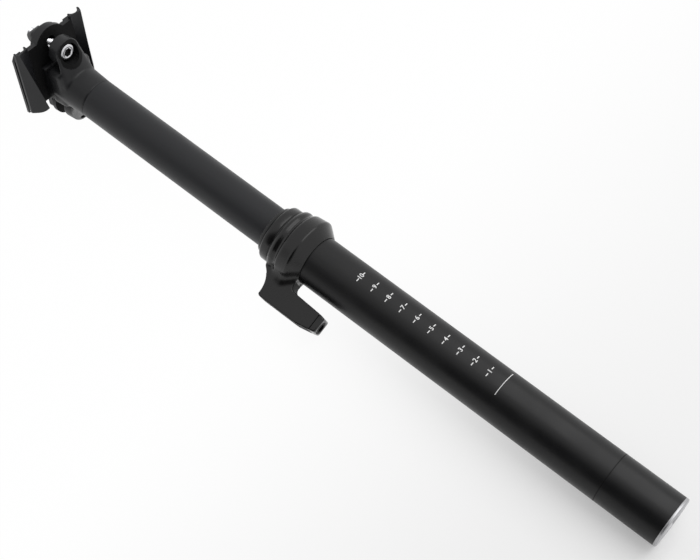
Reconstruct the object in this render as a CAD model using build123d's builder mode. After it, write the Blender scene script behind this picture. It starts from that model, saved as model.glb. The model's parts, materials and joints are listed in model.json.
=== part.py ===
from build123d import *
import os
from math import asin, cos, degrees, radians, sin, sqrt, tan

# Dropper seatpost, in millimetres. +Z runs up the post, +X points to the bike's front and +Y to its left.
# The origin is the centre of the post's lower end.

# Driving sizes of the post
post_od = 30.9
post_wall = 1.5
insert_length = 244.0
stanchion_od = 25.4
stanchion_wall = 2.0
stanchion_show = 140.5
stanchion_engage = 100.0
travel = 125.0

# Fits and cutting overrun
slide_fit = 0.05
seat_fit = 0.03
free_gap = 0.3
overrun = 1.0

# Bottom cap and end plug
cap_height = 40.0
cap_wall = 0.7
plug_edge = 0.8
plug_boss = 6.0
plug_boss_wall = 3.5
plug_socket = 10.0
plug_socket_depth = 2.5
tube_foot = 10.0
collar_thread = 0.2

# Collar, its cable arm and its wiper
collar_height = 31.5
collar_od = 43.2
collar_foot_od = 35.0
collar_ring_od = 39.4
collar_ring_height = 4.6
collar_waist = 0.6
collar_shoulder_od = 41.8
collar_shoulder_height = 13.8
collar_bulge_height = 7.5
wiper_cap_od = 35.2
wiper_cap_height = 9.5
wiper_cap_skirt = 5.5
wiper_cap_lip = 1.5
wiper_lip_gap = 0.9
wiper_wall = 2.6
wiper_chamfer = 1.6
arm_azimuth = 65.0
arm_thickness = 13.0
arm_width = 13.65
arm_top = 13.3
arm_drop = 26.7
arm_tip_inset = 1.65
arm_tip_taper = 2.0
arm_bend = 10.2
arm_gap = 6.9
arm_edge = 2.0
arm_corner_round = 2.0
arm_tip_round = 2.5
arm_wall = 3.0
arm_shoulder_round = 9.0

# Bushings, guide keys and keyways
upper_bush_length = 25.0
lower_bush_length = 20.0
lower_bush_lift = 2.0
bush_ring_height = 2.0
key_length = 12.0
key_width = 3.0
key_lift = 27.0
key_depth = 0.8
keyway_depth = 0.5
key_count = 3

# Cartridge: a gas spring with a locking valve
cartridge_od = 20.0
cartridge_bore = 17.0
rod_od = 8.0
rod_neck_od = 6.0
rod_bore = 3.6
seal_head_length = 15.0
seal_head_flange = 3.0
rod_seal_height = 3.0
rod_seal_wall = 2.0
retainer_length = 8.0
retainer_bore = 12.0
bumper_length = 4.5
bumper_wall = 2.6
piston_length = 12.0
piston_seal_height = 3.0
piston_seal_depth = 1.8
piston_port = 1.6
piston_port_count = 6
piston_nut_height = 4.0
piston_nut_flats = 10.0
float_length = 12.0
float_margin = 2.0
gas_cap_length = 7.0
gas_cap_flange = 4.0
fill_valve_od = 5.0
fill_valve_stem = 3.0
poppet_od = 5.2
poppet_height = 1.8

# Foot bracket, rocker and valve pin
bracket_top = 34.0
bracket_plate = 8.0
bracket_flange = 3.0
bracket_slot = 6.4
bracket_well = 14.4
rod_nut_height = 5.0
rod_nut_flats = 10.0
rocker_level = 15.0
rocker_back = 9.0
rocker_width = 4.0
rocker_height = 4.0
rocker_eye = 6.0
rocker_pin_od = 3.0

# Release lever, pull strip, cable anchor and return spring
lever_level = 6.0
lever_pivot = 21.5
lever_inner = 8.2
lever_swing = 15.0
lever_width = 4.0
lever_height = 3.6
lever_eye = 6.4
lever_hub = 5.4
lever_fork = 6.0
lever_fork_gap = 2.6
lever_pin_od = 3.0
nose_height = 1.6
nose_width = 1.6
strip_width = 4.4
strip_thickness = 0.5
strip_stanchion_gap = 0.35
strip_end = 1.4
strip_window = 2.5
anchor_od = 4.4
anchor_length = 6.2
anchor_screw_od = 2.6
cable_hole = 1.8
spring_mean_od = 4.6
spring_wire = 0.7
spring_turns = 7
stop_od = 8.0
stop_wall = 0.6
stop_length = 14.0
housing_bore = 5.1
housing_depth = 10.0
cover_thickness = 1.5
cover_margin = 2.4
screw_inset = 1.6
cover_screw_od = 1.6
cover_screw_head = 2.8
cover_screw_rise = 0.7
cover_screw_length = 2.6
window_side = 1.8
window_end = 3.0

# Head: neck, bolt bosses and the trough that the saddle clamp tilts in
head_rise = 35.5
clamp_tilt = 12.0
clamp_forward = 1.0
neck_od = 26.8
neck_cone = 4.0
spigot_length = 20.0
spigot_wall = 3.5
trough_radius = 20.5
trough_depth = 11.0
neck_blend = 12.0
rear_web_rise = 14.0
front_web_rise = 5.0
web_inset = 0.5
pad_top = 7.5
pad_length = 26.0
pad_width = 26.0
pad_height = 5.0
pad_round = 4.0
boss_od = 17.6
boss_top = 9.5
boss_foot = 16.9
bolt_gap = 0.3
bolt_spacing = 44.0

# Saddle clamp, its bolts and nuts
rail_od = 7.0
rail_spacing = 44.0
clamp_swing = 10.0
jaw_gap = 1.5
cradle_length = 46.0
cradle_setback = 8.0
wing_width = 8.6
wing_edge = 1.5
wing_rear_depth = 4.9
wing_rear_keel = 1.2
wing_front_depth = 12.0
wing_front_keel = 7.6
wing_round = 7.0
bridge_thickness = 2.8
bridge_rear_round = 25.0
bridge_front_round = 19.0
bridge_inset = 2.4
bridge_lap = 0.7
block_length = 23.0
block_width = 24.0
upper_setback = 3.8
upper_length = 40.5
upper_wing_edge = 2.7
upper_wing_slope = 3.6
upper_wing_height = 5.6
upper_bridge_low = 3.0
upper_bridge_thickness = 4.0
nut_od = 9.0
nut_length = 8.0
nut_rise = 9.5
nut_seat_wall = 2.6
bolt_od = 5.9
bolt_length = 30.0
bolt_head_od = 9.7
bolt_head_height = 6.0
bolt_under = 14.5
bolt_socket = 5.0
bolt_socket_depth = 3.0
bolt_edge = 0.5
thread_gap = 0.4
counterbore_od = 10.8
washer_thickness = 1.0

# Heights that follow from the sizes above
post_radius = post_od / 2
tube_inner = post_radius - post_wall
cap_inner = post_radius - cap_wall
stanchion_radius = stanchion_od / 2
stanchion_inner = stanchion_radius - stanchion_wall
thread_radius = post_radius - collar_thread
collar_foot = insert_length
collar_top = collar_foot + collar_height
head_foot = collar_top + stanchion_show
rail_height = head_foot + head_rise
stanchion_foot = collar_top - stanchion_engage
cap_joint = collar_top - wiper_cap_height
tube_top = cap_joint - slide_fit
lever_height_z = collar_foot + lever_level
arm_tip = collar_foot - arm_drop
stop_top = arm_tip + stop_length
arm_root = post_radius + arm_gap
arm_reach = arm_root + arm_width
arm_tip_inner = arm_root + arm_tip_inset
arm_tip_outer = arm_reach - arm_tip_taper
lever_tip_outer = arm_tip_outer - stop_wall - stop_od / 2
lever_outer = lever_tip_outer - lever_pivot
wiper_foot = tube_top + seat_fit
bush_top = wiper_foot - bush_ring_height
bush_foot = bush_top - upper_bush_length
spigot_foot = head_foot - spigot_length
gas_cap_seat = spigot_foot - seat_fit - gas_cap_flange
gas_cap_foot = gas_cap_seat - gas_cap_length

# The arm's plane: its first direction points out along the arm and its second up
arm_out = Vector(cos(radians(arm_azimuth)), sin(radians(arm_azimuth)), 0)
arm_side = Vector(sin(radians(arm_azimuth)), -cos(radians(arm_azimuth)), 0)
arm_plane = Plane(origin=(0, 0, 0), x_dir=arm_out, z_dir=arm_side)

# The clamp's frame lies along the saddle rails, with its origin where they cross the post's axis
tilt = radians(clamp_tilt)
rail_dir = Vector(cos(tilt), 0, -sin(tilt))
clamp_up = Vector(sin(tilt), 0, cos(tilt))
clamp_origin = Vector(0, 0, rail_height)
pivot_rise = trough_radius - trough_depth
side_plane = Plane(origin=clamp_origin, x_dir=rail_dir, z_dir=(0, -1, 0))
pivot = clamp_origin + rail_dir * clamp_forward + clamp_up * pivot_rise
rear_bolt_x = clamp_forward - bolt_spacing / 2
front_bolt_x = clamp_forward + bolt_spacing / 2


def clamp_plane(height, forward=0.0):
    """Plane square to the clamp bolts, at a height above the rails and a distance along them."""
    return Plane(origin=clamp_origin + rail_dir * forward + clamp_up * height, x_dir=rail_dir, z_dir=clamp_up)


def arm_point(out, height):
    """Point of the arm's middle plane, from its distance to the post's axis and its height."""
    return arm_out * out + Vector(0, 0, height)


def radial_plane(azimuth, height):
    """Level plane on the post's axis, with its first direction turned to an azimuth."""
    turn = radians(azimuth)
    return Plane(origin=(0, 0, height), x_dir=(cos(turn), sin(turn), 0), z_dir=(0, 0, 1))


def save(solid, name):
    """Label a finished piece and write it as a node of its own."""
    solid.label = name
    export_step(solid, f"parts/{name}.step")
    print(f"{name}: {solid.volume:.1f} mm3 in {len(solid.solids())} solids")


def ring(name, outer, inner, low, high):
    """Plain ring about the post's axis, between two radii and two heights."""
    with BuildPart() as piece:
        with BuildSketch(Plane.XY.offset(low)):
            Circle(outer)
            Circle(inner, mode=Mode.SUBTRACT)
        extrude(amount=high - low)
    save(piece.part, name)


os.makedirs("parts", exist_ok=True)

# Outer tube, with its keyways and the window of the release lever
strip_inner = stanchion_radius + strip_stanchion_gap
strip_outer = strip_inner + strip_thickness
window_height = 2 * (lever_inner * sin(radians(lever_swing)) + nose_height)
with BuildPart() as outer_tube:
    with BuildSketch(Plane.XY.offset(tube_foot)):
        Circle(post_radius)
        Circle(tube_inner, mode=Mode.SUBTRACT)
    extrude(amount=tube_top - tube_foot)
    with BuildSketch(Plane.XY.offset(tube_foot)):
        Circle(post_radius + overrun)
        Circle(cap_inner - seat_fit, mode=Mode.SUBTRACT)
    extrude(amount=cap_height - tube_foot, mode=Mode.SUBTRACT)
    with BuildSketch(Plane.XY.offset(collar_foot)):
        Circle(post_radius + overrun)
        Circle(thread_radius, mode=Mode.SUBTRACT)
    extrude(amount=collar_height, mode=Mode.SUBTRACT)
    for turn in range(key_count):
        azimuth = arm_azimuth + 180 / key_count + turn * 360 / key_count
        with BuildSketch(radial_plane(azimuth, tube_foot)):
            with Locations((tube_inner / 2, 0)):
                Rectangle(tube_inner + 2 * keyway_depth, key_width + 2 * slide_fit)
        extrude(amount=bush_foot - tube_foot, mode=Mode.SUBTRACT)
    with BuildSketch(arm_plane.offset(-(nose_width / 2 + free_gap + slide_fit))):
        with Locations((post_radius, lever_height_z)):
            Rectangle(2 * post_wall + overrun, window_height + 2 * free_gap)
    extrude(amount=nose_width + 2 * free_gap + 2 * slide_fit, mode=Mode.SUBTRACT)
save(outer_tube.part, "outer_tube")

# Bottom cap: the black sleeve that screws over the tube's turned-down end
with BuildPart() as bottom_cap:
    with BuildSketch(Plane.XY.offset(plug_edge)):
        Circle(post_radius)
        Circle(cap_inner, mode=Mode.SUBTRACT)
    extrude(amount=cap_height - seat_fit - plug_edge)
save(bottom_cap.part, "bottom_cap")

# End plug: the bare metal end face, with a hexagonal socket
with BuildPart() as end_plug:
    with BuildSketch():
        Circle(post_radius)
    extrude(amount=plug_edge)
    with BuildSketch(Plane.XY.offset(plug_edge)):
        Circle(cap_inner - seat_fit)
    extrude(amount=plug_boss)
    with BuildSketch(Plane.XY.offset(plug_edge + plug_boss - plug_boss_wall)):
        Circle(cap_inner - plug_boss_wall)
    extrude(amount=plug_boss_wall, mode=Mode.SUBTRACT)
    with BuildSketch():
        RegularPolygon(plug_socket / 2, 6, major_radius=False)
    extrude(amount=plug_socket_depth, mode=Mode.SUBTRACT)
save(end_plug.part, "end_plug")

# Foot bracket: it carries the cartridge's rod and the rocker, and the end plug clamps it
slot_plane = arm_plane.offset(-bracket_slot / 2)
slot_top = bracket_top - bracket_plate
with BuildPart() as foot_bracket:
    with BuildSketch(Plane.XY.offset(tube_foot - bracket_flange + seat_fit)):
        Circle(cap_inner - seat_fit)
    extrude(amount=bracket_flange - 2 * seat_fit)
    with BuildSketch(Plane.XY.offset(tube_foot - seat_fit)):
        Circle(tube_inner - seat_fit)
    extrude(amount=bracket_top - tube_foot + seat_fit)
    with BuildSketch(slot_plane):
        with Locations((0, (tube_foot - bracket_flange + slot_top) / 2)):
            Rectangle(2 * post_od, slot_top - tube_foot + bracket_flange + 2 * seat_fit)
    extrude(amount=bracket_slot, mode=Mode.SUBTRACT)
    with BuildSketch(Plane.XY.offset(tube_foot + overrun)):
        Circle(bracket_well / 2)
    extrude(amount=slot_top - tube_foot - overrun, mode=Mode.SUBTRACT)
    with BuildSketch(Plane.XY.offset(slot_top - overrun)):
        Circle(rod_neck_od / 2 + seat_fit)
    extrude(amount=bracket_plate + 2 * overrun, mode=Mode.SUBTRACT)
    with BuildSketch(arm_plane.offset(-tube_inner)):
        with Locations((-rocker_back, rocker_level)):
            Circle(rocker_pin_od / 2 + seat_fit)
    extrude(amount=2 * tube_inner, mode=Mode.SUBTRACT)
    with BuildSketch(radial_plane(arm_azimuth, slot_top - overrun)):
        with Locations((tube_inner, 0)):
            Rectangle(2 * (tube_inner - strip_inner + free_gap), strip_width + 2 * free_gap)
    extrude(amount=bracket_plate + 2 * overrun, mode=Mode.SUBTRACT)
save(foot_bracket.part, "foot_bracket")

# Rocker pin, across the bracket's slot
pin_span = 2 * sqrt(tube_inner ** 2 - rocker_back ** 2) - 2 * rocker_pin_od / 2
with BuildPart() as rocker_pin:
    with BuildSketch(arm_plane.offset(-pin_span / 2)):
        with Locations((-rocker_back, rocker_level)):
            Circle(rocker_pin_od / 2)
    extrude(amount=pin_span)
save(rocker_pin.part, "rocker_pin")

# Cartridge rod: a hollow rod that hangs the piston above the foot bracket
seal_head_foot = stanchion_foot + retainer_length
seal_head_top = seal_head_foot + seal_head_length
piston_foot = seal_head_top + free_gap + bumper_length
piston_top = piston_foot + piston_length
rod_top = piston_top + piston_nut_height + seat_fit
rod_foot = slot_top - rod_nut_height
with BuildPart() as cartridge_rod:
    with BuildSketch(Plane.XY.offset(bracket_top + seat_fit)):
        Circle(rod_od / 2)
    extrude(amount=piston_foot - seat_fit - bracket_top - seat_fit)
    with BuildSketch(Plane.XY.offset(rod_foot)):
        Circle(rod_neck_od / 2)
    extrude(amount=rod_top - rod_foot)
    with BuildSketch(Plane.XY.offset(rod_foot)):
        Circle(rod_bore / 2)
    extrude(amount=rod_top - rod_foot, mode=Mode.SUBTRACT)
save(cartridge_rod.part, "cartridge_rod")

# Rod nut, under the bracket's plate
with BuildPart() as rod_nut:
    with BuildSketch(Plane.XY.offset(rod_foot)):
        RegularPolygon(rod_nut_flats / 2, 6, major_radius=False)
        Circle(rod_neck_od / 2 + seat_fit, mode=Mode.SUBTRACT)
    extrude(amount=rod_nut_height - seat_fit)
save(rod_nut.part, "rod_nut")

# Top-out bumper, under the main piston
ring("top_out_bumper", rod_od / 2 + bumper_wall, rod_od / 2 + seat_fit,
     piston_foot - bumper_length, piston_foot - seat_fit)

# Main piston with its oil ports, its seal and its nut
piston_radius = cartridge_bore / 2 - 2 * slide_fit
seal_low = piston_foot + (piston_length - piston_seal_height) / 2
with BuildPart() as main_piston:
    with BuildSketch(Plane.XY.offset(piston_foot)):
        Circle(piston_radius)
        Circle(rod_neck_od / 2 + seat_fit, mode=Mode.SUBTRACT)
        with PolarLocations((rod_neck_od / 2 + piston_radius - piston_seal_depth) / 2, piston_port_count):
            Circle(piston_port / 2, mode=Mode.SUBTRACT)
    extrude(amount=piston_length)
    with BuildSketch(Plane.XY.offset(seal_low)):
        Circle(piston_radius + overrun)
        Circle(piston_radius - piston_seal_depth, mode=Mode.SUBTRACT)
    extrude(amount=piston_seal_height, mode=Mode.SUBTRACT)
save(main_piston.part, "main_piston")
ring("piston_seal", cartridge_bore / 2 - slide_fit, piston_radius - piston_seal_depth + seat_fit,
     seal_low + seat_fit, seal_low + piston_seal_height - seat_fit)
with BuildPart() as piston_nut:
    with BuildSketch(Plane.XY.offset(piston_top + seat_fit)):
        RegularPolygon(piston_nut_flats / 2, 6, major_radius=False)
        Circle(rod_neck_od / 2 + seat_fit, mode=Mode.SUBTRACT)
    extrude(amount=piston_nut_height - seat_fit)
save(piston_nut.part, "piston_nut")

# Rocker: it hangs tilted down at the strip, and lifts the valve pin as the strip is pulled
strip_travel = 2 * lever_inner * sin(radians(lever_swing))
strip_middle = (strip_inner + strip_outer) / 2
rocker_arm = strip_middle + rocker_back
rocker_half = asin(strip_travel / 2 / rocker_arm)
rocker_swing = 2 * degrees(rocker_half)
rocker_plane = Plane(origin=arm_point(-rocker_back, rocker_level),
                     x_dir=arm_out * cos(rocker_half) - Vector(0, 0, 1) * sin(rocker_half), z_dir=arm_side)
rocker_root = rocker_arm - strip_thickness - nose_width
nose_end = rocker_arm + strip_thickness / 2 + slide_fit
with BuildPart() as foot_rocker:
    with BuildSketch(rocker_plane.offset(-rocker_width / 2)):
        with Locations((rocker_root / 2, 0)):
            Rectangle(rocker_root, rocker_height)
        Circle(rocker_eye / 2)
        Circle(rocker_pin_od / 2 + slide_fit, mode=Mode.SUBTRACT)
    extrude(amount=rocker_width)
    with BuildSketch(rocker_plane.offset(-nose_width / 2)):
        with Locations(((rocker_root - overrun + nose_end) / 2, 0)):
            Rectangle(nose_end - rocker_root + overrun, nose_height)
    extrude(amount=nose_width)
save(foot_rocker.part, "foot_rocker")

# Valve pin: it runs up through the rod to the poppet above the piston, and its domed tip rests on the rocker
pin_radius = rod_bore / 2 - slide_fit
tip_level = rocker_level - rocker_back * tan(rocker_half) + rocker_height / 2 / cos(rocker_half) + slide_fit
poppet_low = rod_top + seat_fit
with BuildPart() as valve_pin:
    with BuildSketch(Plane.XY.offset(tip_level + pin_radius)):
        Circle(pin_radius)
    extrude(amount=poppet_low - tip_level - pin_radius)
    with BuildSketch(Plane.XY.offset(poppet_low)):
        Circle(poppet_od / 2)
    extrude(amount=poppet_height)
    with Locations((0, 0, tip_level + pin_radius)):
        Sphere(pin_radius)
save(valve_pin.part, "valve_pin")

# Pull strip: a flat steel strip beside the stanchion, with a window at each end for the noses
strip_low_level = rocker_level - strip_travel / 2
strip_high_level = lever_height_z - strip_travel / 2
window_width = nose_width + 2 * free_gap
strip_foot = strip_low_level - strip_window / 2 - strip_end
strip_head = strip_high_level + strip_window / 2 + strip_end
with BuildPart() as pull_strip:
    with BuildSketch(radial_plane(arm_azimuth, strip_foot)):
        with Locations((strip_middle, 0)):
            Rectangle(strip_thickness, strip_width)
    extrude(amount=strip_head - strip_foot)
    with BuildSketch(arm_plane.offset(-window_width / 2)):
        with Locations((strip_middle, strip_low_level), (strip_middle, strip_high_level)):
            Rectangle(strip_thickness + overrun, strip_window)
    extrude(amount=window_width, mode=Mode.SUBTRACT)
save(pull_strip.part, "pull_strip")

# Collar body: a turned ring that carries the cable arm
ring_radius = collar_ring_od / 2
ring_low = cap_joint - collar_ring_height
bulge_level = collar_foot + collar_bulge_height
skirt_radius = post_radius + (collar_ring_od - post_od) / 4
skirt_foot = cap_joint - wiper_cap_skirt
cover_low = arm_tip + stop_length + overrun
cover_high = collar_foot + arm_top - cover_margin
cover_inner = arm_tip_inner + cover_margin / 2
cover_outer = arm_reach - cover_margin
cavity_low = stop_top
cavity_half = lever_fork / 2 + free_gap + slide_fit
cavity_high = lever_height_z + lever_outer * sin(radians(lever_swing)) + lever_eye / 2 + free_gap
pocket_low = lever_height_z - lever_inner * sin(radians(lever_swing)) - lever_height / 2 - free_gap
screw_spots = [(cover_inner + screw_inset, cover_high - screw_inset),
               (cover_outer - screw_inset, cover_low + screw_inset)]
with BuildPart() as arm_blank:
    with BuildSketch(arm_plane.offset(-arm_thickness / 2)) as arm_outline:
        with BuildLine():
            Polyline((stanchion_inner, cap_joint - collar_waist), (stanchion_inner, collar_foot),
                     (post_radius + arm_gap / 2, collar_foot))
            CenterArc((post_radius + arm_gap / 2, collar_foot - arm_gap / 2), arm_gap / 2, 0, 90)
            Polyline((arm_root, collar_foot - arm_gap / 2), (arm_tip_inner, arm_tip),
                     (arm_tip_outer, arm_tip), (arm_reach, arm_tip + arm_bend + arm_tip_round),
                     (arm_reach, collar_foot + arm_top))
            RadiusArc((arm_reach, collar_foot + arm_top), (ring_radius, cap_joint - collar_waist),
                      2 * arm_shoulder_round)
            Line((ring_radius, cap_joint - collar_waist), (stanchion_inner, cap_joint - collar_waist))
        make_face()
        fillet(arm_outline.vertices().group_by(Axis.Y)[0], radius=arm_tip_round)
        fillet(arm_outline.vertices().sort_by_distance((arm_reach, collar_foot + arm_top))[0],
               radius=arm_corner_round)
    extrude(amount=arm_thickness)
    chamfer(arm_blank.faces().filter_by(Plane(origin=(0, 0, 0), z_dir=arm_side)).edges(), length=arm_edge)
with BuildPart() as collar_body:
    with BuildSketch(Plane.XZ):
        with BuildLine():
            Polyline((0, collar_foot), (collar_foot_od / 2, collar_foot))
            ThreePointArc((collar_foot_od / 2, collar_foot),
                          ((collar_foot_od + 2 * collar_od) / 6, collar_foot + collar_bulge_height / 2),
                          (collar_od / 2, bulge_level))
            Polyline((collar_od / 2, bulge_level), (collar_shoulder_od / 2, collar_foot + collar_shoulder_height),
                     (ring_radius - collar_waist, ring_low - collar_waist),
                     (ring_radius, ring_low), (ring_radius, cap_joint - collar_waist),
                     (ring_radius - collar_waist, cap_joint), (0, cap_joint), (0, collar_foot))
        make_face()
    revolve(axis=Axis.Z)
    add(arm_blank.part)
    with BuildSketch(Plane.XY.offset(collar_foot - overrun)):
        Circle(thread_radius + seat_fit)
    extrude(amount=collar_height, mode=Mode.SUBTRACT)
    with BuildSketch(Plane.XY.offset(skirt_foot - slide_fit)):
        Circle(skirt_radius + seat_fit)
    extrude(amount=collar_height, mode=Mode.SUBTRACT)
    with BuildSketch(arm_plane.offset(-lever_width / 2 - free_gap)):
        with BuildLine():
            Polyline((post_radius - overrun, pocket_low), (lever_tip_outer, pocket_low),
                     (lever_tip_outer, cavity_high), (post_radius - overrun, cavity_high), close=True)
        make_face()
    extrude(amount=lever_width + 2 * free_gap, mode=Mode.SUBTRACT)
    with BuildSketch(arm_plane.offset(-cavity_half)):
        with BuildLine():
            Polyline((lever_pivot + lever_eye / 2, cavity_high), (lever_pivot + lever_eye / 2, pocket_low),
                     (lever_tip_outer - stop_od / 2, cavity_low), (lever_tip_outer + stop_od / 2, cavity_low),
                     (lever_tip_outer + lever_eye / 2 + free_gap, cavity_high), close=True)
        make_face()
    extrude(amount=2 * cavity_half, mode=Mode.SUBTRACT)
    with BuildSketch(arm_plane):
        with Locations(((cover_inner + cover_outer) / 2, (cover_low + cover_high) / 2)):
            Rectangle(cover_outer - cover_inner - 2 * window_side, cover_high - cover_low - 2 * window_end)
    extrude(amount=arm_thickness, mode=Mode.SUBTRACT)
    with BuildSketch(arm_plane.offset(arm_thickness / 2 - cover_thickness)):
        with Locations(((cover_inner + cover_outer) / 2, (cover_low + cover_high) / 2)):
            Rectangle(cover_outer - cover_inner, cover_high - cover_low)
    extrude(amount=cover_thickness + overrun, mode=Mode.SUBTRACT)
    with BuildSketch(Plane(origin=arm_point(lever_tip_outer, arm_tip - overrun))):
        Circle(stop_od / 2 + seat_fit)
    extrude(amount=stop_length + 2 * overrun, mode=Mode.SUBTRACT)
    with BuildSketch(arm_plane.offset(-arm_thickness / 2 + arm_wall / 2)):
        with Locations((lever_pivot, lever_height_z)):
            Circle(lever_pin_od / 2 + seat_fit)
    extrude(amount=arm_thickness + overrun, mode=Mode.SUBTRACT)
    with BuildSketch(arm_plane.offset(arm_thickness / 2 - cover_screw_length - seat_fit)):
        with Locations(*screw_spots):
            Circle(cover_screw_od / 2 + seat_fit)
    extrude(amount=cover_screw_length + overrun, mode=Mode.SUBTRACT)
save(collar_body.part, "collar_body")

# Wiper cap, screwed onto the tube's top, and the rubber wiper that it holds around the stanchion
wiper_top = collar_top - wiper_cap_lip
wiper_seat = stanchion_radius + wiper_wall
with BuildPart() as wiper_cap:
    with BuildSketch(Plane.XZ):
        with BuildLine():
            Polyline((wiper_seat, cap_joint + seat_fit), (wiper_cap_od / 2, cap_joint + seat_fit),
                     (wiper_cap_od / 2, collar_top - 2 * wiper_cap_lip),
                     (wiper_cap_od / 2 - wiper_chamfer, collar_top - wiper_cap_lip / 2),
                     (wiper_cap_od / 2 - 2 * wiper_chamfer, collar_top),
                     (stanchion_radius + wiper_lip_gap, collar_top), (stanchion_radius + wiper_lip_gap, wiper_top),
                     (wiper_seat, wiper_top), close=True)
        make_face()
    revolve(axis=Axis.Z)
    with BuildSketch(Plane.XY.offset(skirt_foot)):
        Circle(skirt_radius)
        Circle(thread_radius + seat_fit, mode=Mode.SUBTRACT)
    extrude(amount=wiper_cap_skirt + seat_fit)
save(wiper_cap.part, "wiper_cap")
with BuildPart() as wiper_seal:
    with BuildSketch(Plane.XZ):
        with BuildLine():
            Polyline((wiper_seat - seat_fit, wiper_foot), (wiper_seat - seat_fit, wiper_top - seat_fit),
                     (stanchion_radius + slide_fit, wiper_top - seat_fit),
                     (stanchion_radius + slide_fit, wiper_top - wiper_lip_gap),
                     (stanchion_radius + wiper_lip_gap, wiper_top - 2 * wiper_lip_gap),
                     (stanchion_radius + wiper_lip_gap, wiper_foot + wiper_lip_gap),
                     (stanchion_radius + slide_fit, wiper_foot), close=True)
        make_face()
    revolve(axis=Axis.Z)
save(wiper_seal.part, "wiper_seal")

# Upper bushing, split along the pull strip
bush_slot = strip_width + 2 * free_gap
with BuildPart() as upper_bushing:
    with BuildSketch(radial_plane(arm_azimuth, bush_foot)):
        Circle(tube_inner - seat_fit)
        Circle(stanchion_radius + slide_fit, mode=Mode.SUBTRACT)
        with Locations((tube_inner, 0)):
            Rectangle(tube_inner, bush_slot, mode=Mode.SUBTRACT)
    extrude(amount=upper_bush_length)
save(upper_bushing.part, "upper_bushing")
ring("bushing_ring", tube_inner - seat_fit, stanchion_radius + free_gap, bush_top + seat_fit, wiper_foot - seat_fit)

# Release lever: it rests tilted up at the cable, and its nose holds the strip
lever_half = radians(lever_swing)
lever_plane = Plane(origin=arm_point(lever_pivot, lever_height_z),
                    x_dir=arm_out * cos(lever_half) + Vector(0, 0, 1) * sin(lever_half), z_dir=arm_side)
lever_root = lever_pivot - post_radius - free_gap - strip_thickness
nose_reach = lever_pivot - strip_inner + slide_fit
with BuildPart() as release_lever:
    with BuildSketch(lever_plane.offset(-lever_width / 2)):
        with Locations(((lever_outer - lever_root) / 2, 0)):
            Rectangle(lever_outer + lever_root, lever_height)
        Circle(lever_hub / 2)
    extrude(amount=lever_width)
    with BuildSketch(lever_plane.offset(-lever_fork / 2)):
        with Locations((lever_outer, 0)):
            Circle(lever_eye / 2)
    extrude(amount=lever_fork)
    with BuildSketch(lever_plane.offset(-lever_fork_gap / 2)):
        with Locations((lever_outer, 0)):
            Rectangle(lever_eye + overrun, lever_eye + overrun)
    extrude(amount=lever_fork_gap, mode=Mode.SUBTRACT)
    with BuildSketch(lever_plane.offset(-nose_width / 2)):
        with Locations((-(lever_root - overrun + nose_reach) / 2, 0)):
            Rectangle(nose_reach - lever_root + overrun, nose_height)
    extrude(amount=nose_width)
    with BuildSketch(lever_plane.offset(-lever_fork)):
        Circle(lever_pin_od / 2 + slide_fit)
        with Locations((lever_outer, 0)):
            Circle(anchor_od / 2 + seat_fit)
    extrude(amount=2 * lever_fork, mode=Mode.SUBTRACT)
save(release_lever.part, "release_lever")

# Cable anchor: a cross barrel in the lever's fork, with a hole for the cable and a set screw
with BuildPart() as cable_anchor:
    with BuildSketch(lever_plane.offset(-anchor_length / 2)):
        with Locations((lever_outer, 0)):
            Circle(anchor_od / 2)
    extrude(amount=anchor_length)
    with BuildSketch(Plane(origin=arm_point(lever_pivot + lever_outer * cos(lever_half),
                                            lever_height_z + lever_outer * sin(lever_half) - anchor_od))):
        Circle(cable_hole / 2)
    extrude(amount=2 * anchor_od, mode=Mode.SUBTRACT)
    with BuildSketch(lever_plane.offset(cable_hole / 2)):
        with Locations((lever_outer, 0)):
            Circle(anchor_screw_od / 2 + seat_fit)
    extrude(amount=anchor_length, mode=Mode.SUBTRACT)
save(cable_anchor.part, "cable_anchor")
with BuildPart() as anchor_screw:
    with BuildSketch(lever_plane.offset(cable_hole / 2 + seat_fit)):
        with Locations((lever_outer, 0)):
            Circle(anchor_screw_od / 2)
    extrude(amount=(anchor_length - cable_hole) / 2 - seat_fit)
save(anchor_screw.part, "anchor_screw")

# Lever pin, blind in the arm's plain side
pin_far = arm_thickness / 2 - cover_thickness - seat_fit
with BuildPart() as lever_pin:
    with BuildSketch(arm_plane.offset(-arm_thickness / 2 + arm_wall / 2 + seat_fit)):
        with Locations((lever_pivot, lever_height_z)):
            Circle(lever_pin_od / 2)
    extrude(amount=arm_thickness / 2 - arm_wall / 2 - seat_fit + pin_far)
save(lever_pin.part, "lever_pin")

# Cable stop, in the arm's tip: the housing's seat and a smaller hole for the cable
with BuildPart() as cable_stop:
    with BuildSketch(Plane(origin=arm_point(lever_tip_outer, arm_tip + slide_fit))):
        Circle(stop_od / 2)
    extrude(amount=stop_length - slide_fit)
    with BuildSketch(Plane(origin=arm_point(lever_tip_outer, arm_tip))):
        Circle(cable_hole / 2)
    extrude(amount=stop_length, mode=Mode.SUBTRACT)
    with BuildSketch(Plane(origin=arm_point(lever_tip_outer, arm_tip))):
        Circle(housing_bore / 2)
    extrude(amount=housing_depth, mode=Mode.SUBTRACT)
save(cable_stop.part, "cable_stop")

# Return spring, between the cable stop and the lever's fork
eye_foot = lever_height_z + lever_outer * sin(lever_half) - lever_eye / 2
spring_low = stop_top + spring_wire / 2 + seat_fit
spring_high = eye_foot - spring_wire / 2 - slide_fit
spring_pitch = (spring_high - spring_low) / spring_turns
print(f"return spring: {spring_pitch - spring_wire:.2f} mm between turns")
with BuildPart() as return_spring:
    with BuildLine() as coil:
        Helix(spring_pitch, spring_high - spring_low, spring_mean_od / 2, center=arm_point(lever_tip_outer, spring_low))
    with BuildSketch(Plane(origin=coil.line @ 0, z_dir=coil.line % 0)):
        Circle(spring_wire / 2)
    sweep()
save(return_spring.part, "return_spring")

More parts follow.
